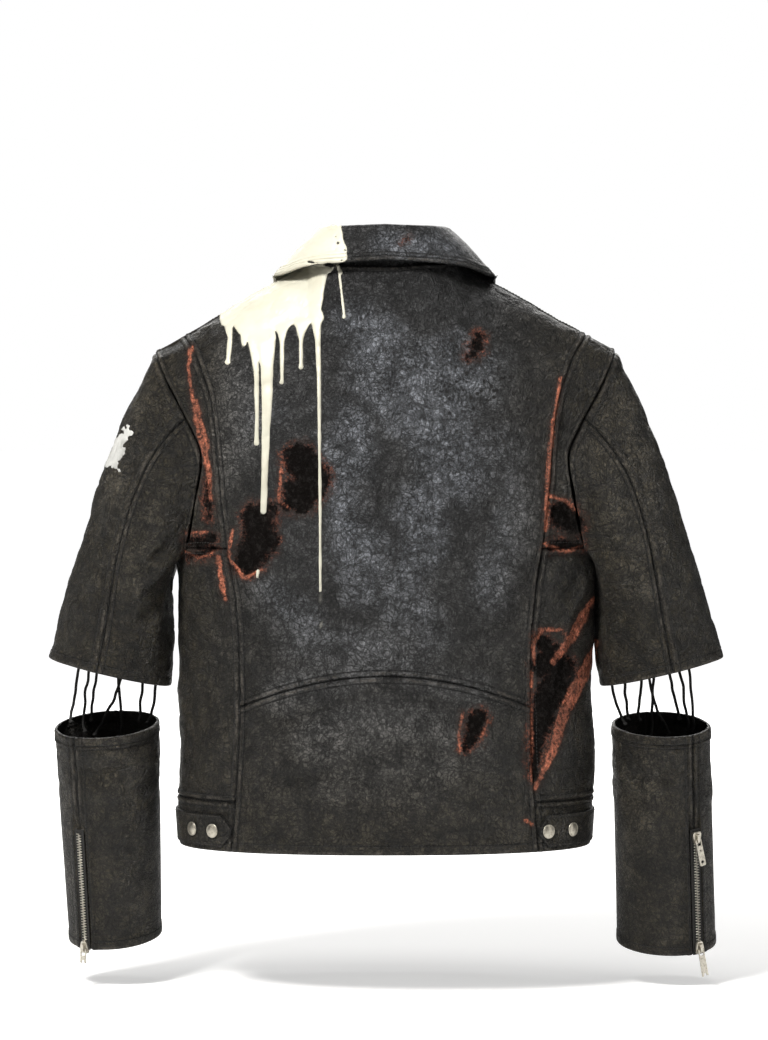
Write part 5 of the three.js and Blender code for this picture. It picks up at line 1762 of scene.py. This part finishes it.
def tooth_shape():
    """A tooth lying across the chain, thicker at its head; x runs along the zip, y across."""
    outline = [(-0.5, -2.7), (0.5, -2.7), (0.4, -1.0), (0.6, -0.1), (0.3, 0.5), (-0.3, 0.5),
               (-0.6, -0.1), (-0.4, -1.0)]
    vertices = [(x * wide, y * deep, height) for wide, deep, height in
                ((1, 1, 0), (1, 1, 1.0), (0.72, 0.88, 1.45)) for x, y in outline]
    faces = [(8 * k + j, 8 * k + (j + 1) % 8, 8 * k + 8 + (j + 1) % 8, 8 * k + 8 + j)
             for k in range(2) for j in range(8)]
    return small_shape("tooth", vertices, faces + [tuple(range(7, -1, -1)), tuple(range(16, 24))])


def units(vectors):
    return vectors / np.linalg.norm(vectors, axis=1, keepdims=True)


def two_rows(line, out, along):
    """Guides for both rows of teeth; the second faces the other way, half a pitch on."""
    return [(line, out), ((line + along * (TOOTH_PITCH / 2))[::-1], out[::-1])]


def forearm_zip(side, t_from, t_to, steps=60):
    ts = np.linspace(t_from, t_to, steps)

    def at(offset):
        return forearm_point(side, ZIP_ANGLE + np.degrees(offset / 50) * np.ones_like(ts), ts)

    centre, sideways = at(0), units(at(1) - at(-1))
    along = units(np.gradient(centre, axis=0))
    out = np.cross(along, sideways)
    axis = (np.array(FOREARMS[side]["top"]) + np.array(FOREARMS[side]["foot"])) / 2
    out *= np.sign(np.sum(out[steps // 2] * (centre[steps // 2] - axis)))
    return two_rows(centre + out * TAPE_TOP, out, along)


def front_zip(steps=160):
    line = front_point(np.zeros(steps), np.linspace(-84, HEM_Z + 2, steps))
    along = units(np.gradient(line, axis=0))
    out = np.cross(along, np.array([1.0, 0, 0]))
    out *= np.sign(out[:, 1:2])
    return two_rows(line - out * FRONT_SINK, out, along)


rows_of_teeth = [row for ends in FORE_ZIPS.values() for row in forearm_zip(*ends)] + front_zip()
teeth = set_out("zip_teeth", rows_of_teeth, TOOTH_PITCH, tooth_shape(), STEEL, 0.0, 2)
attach(teeth, "root")
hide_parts("zip_chain_left", "zip_chain_right", "front_zip_chain")
print("teeth:", len(teeth.data.polygons) // 18)

# %% Tapes, sliders and pulls
def thread_waves(wire, place, scale, distortion, direction):
    return wire.add("ShaderNodeTexWave",
                    {"Vector": place, "Scale": scale, "Distortion": distortion},
                    wave_type="BANDS", bands_direction=direction).outputs["Fac"]


def tape_material():
    material, wire, shader = new_material("woven_tape")
    place = wire.add("ShaderNodeTexCoord").outputs["Object"]
    cloth = wire.times(thread_waves(wire, place, 420.0, 0.6, "DIAGONAL"),
                       thread_waves(wire, place, 420.0, 0.4, "Z"))
    wire.link(wire.mix(cloth, (0.006, 0.006, 0.006), (0.028, 0.026, 0.023)),
              shader.inputs["Base Color"])
    shader.inputs["Roughness"].default_value = 0.9
    wire.bump(shader, cloth, 0.5, 0.0004)
    return material


def dressed(node, material):
    piece = bpy.data.objects[node]
    piece.data.materials.clear()
    piece.data.materials.append(material)
    return piece


TAPE = tape_material()
for node in ("zip_tape_left", "zip_tape_right", "front_zip_tape"):
    dressed(node, TAPE)
for part in ("slider", "pull"):
    for row in ("left_bottom", "right_top", "right_bottom", "front"):
        bevel = dressed(f"{part}_{row}", STEEL).modifiers.new("softened", "BEVEL")
        bevel.width = 0.22 * MM
        bevel.segments = 2
        bevel.limit_method = "ANGLE"
        bevel.angle_limit = math.radians(35)
print("zip hardware finished")

# %% [markdown]
# ## Laces made up
# Each lace is a smooth line through its three places with a round section, and ends in a small
# flattened knot inside the forearm. Its stated length is the length of the line itself.

# %% Laces
KNOT_RADIUS = 2.5
LACE_DEEPER = 8
LACE_INWARDS = 2.0
LACE_SWAY = 2.2


def cord_material():
    material, wire, shader = new_material("waxed_cord")
    place = wire.add("ShaderNodeTexCoord").outputs["Object"]
    twist = thread_waves(wire, place, 260.0, 1.2, "DIAGONAL")
    wire.link(wire.mix(twist, (0.004, 0.004, 0.004), (0.022, 0.021, 0.020)),
              shader.inputs["Base Color"])
    shader.inputs["Roughness"].default_value = 0.7
    wire.bump(shader, twist, 0.6, 0.0005)
    return material


CORD = cord_material()


def smooth_line(route, steps=9):
    """Points of a smooth curve through a route."""
    ends = [2 * route[0] - route[1], *route, 2 * route[-1] - route[-2]]
    line = []
    for k in range(1, len(ends) - 2):
        a, b, c, d = ends[k - 1:k + 3]
        for u in np.linspace(0, 1, steps, False):
            line.append(0.5 * (2 * b + (c - a) * u + (2 * a - 5 * b + 4 * c - d) * u * u
                               + (3 * b - a - 3 * c + d) * u**3))
    return np.array(line + [route[-1]])


def lace_line(route):
    """The lace's own line: on past its route into the forearm, with a slight sway."""
    route = [np.array(p, float) for p in route]
    last, before = route[-1], route[-2]
    hub = np.array(FOREARMS[-1 if last[0] < 0 else 1]["top"], float) - last
    deeper = last + unit(last - before) * LACE_DEEPER + unit(hub * [1, 1, 0]) * LACE_INWARDS
    line = smooth_line([*route, deeper])
    sway = np.sin(np.linspace(0, math.pi, len(line)))[:, None] * LACE_SWAY
    drift = np.stack([noise(line, 11, 41), noise(line, 11, 42) * 0.6, 0 * line[:, 0]], -1)
    return line + sway * drift


def add_lace(name, route):
    line = lace_line(route)
    data = bpy.data.curves.new(name, "CURVE")
    data.dimensions = "3D"
    data.bevel_depth = LACE_DIAMETER / 2 * MM
    data.bevel_resolution = 3
    data.use_fill_caps = True
    spline = data.splines.new("POLY")
    spline.points.add(len(line) - 1)
    spline.points.foreach_set("co", np.concatenate([line * MM, np.ones((len(line), 1))], 1).ravel())
    data.materials.append(CORD)
    lace = bpy.data.objects.new(name + "_cord", data)
    bpy.context.scene.collection.objects.link(lace)
    profile = [(KNOT_RADIUS * math.sin(a), 0.8 * KNOT_RADIUS * math.cos(a))
               for a in np.linspace(0, math.pi, 9)]
    vertices, faces = turned(profile, 16)
    knot = add_mesh(name + "_knot", vertices + line[-1], faces, CORD)
    length = float(np.linalg.norm(np.diff(line, axis=0), axis=1).sum()) * MM
    for piece in (lace, knot):
        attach(piece, "root")
    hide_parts(name)
    return length


lengths = [add_lace(f"lace_{side}_{k + 1}", route) for side, routes in LACES.items()
           for k, route in enumerate(routes)]
print("laces", [round(length / MM) for length in lengths], "mm")
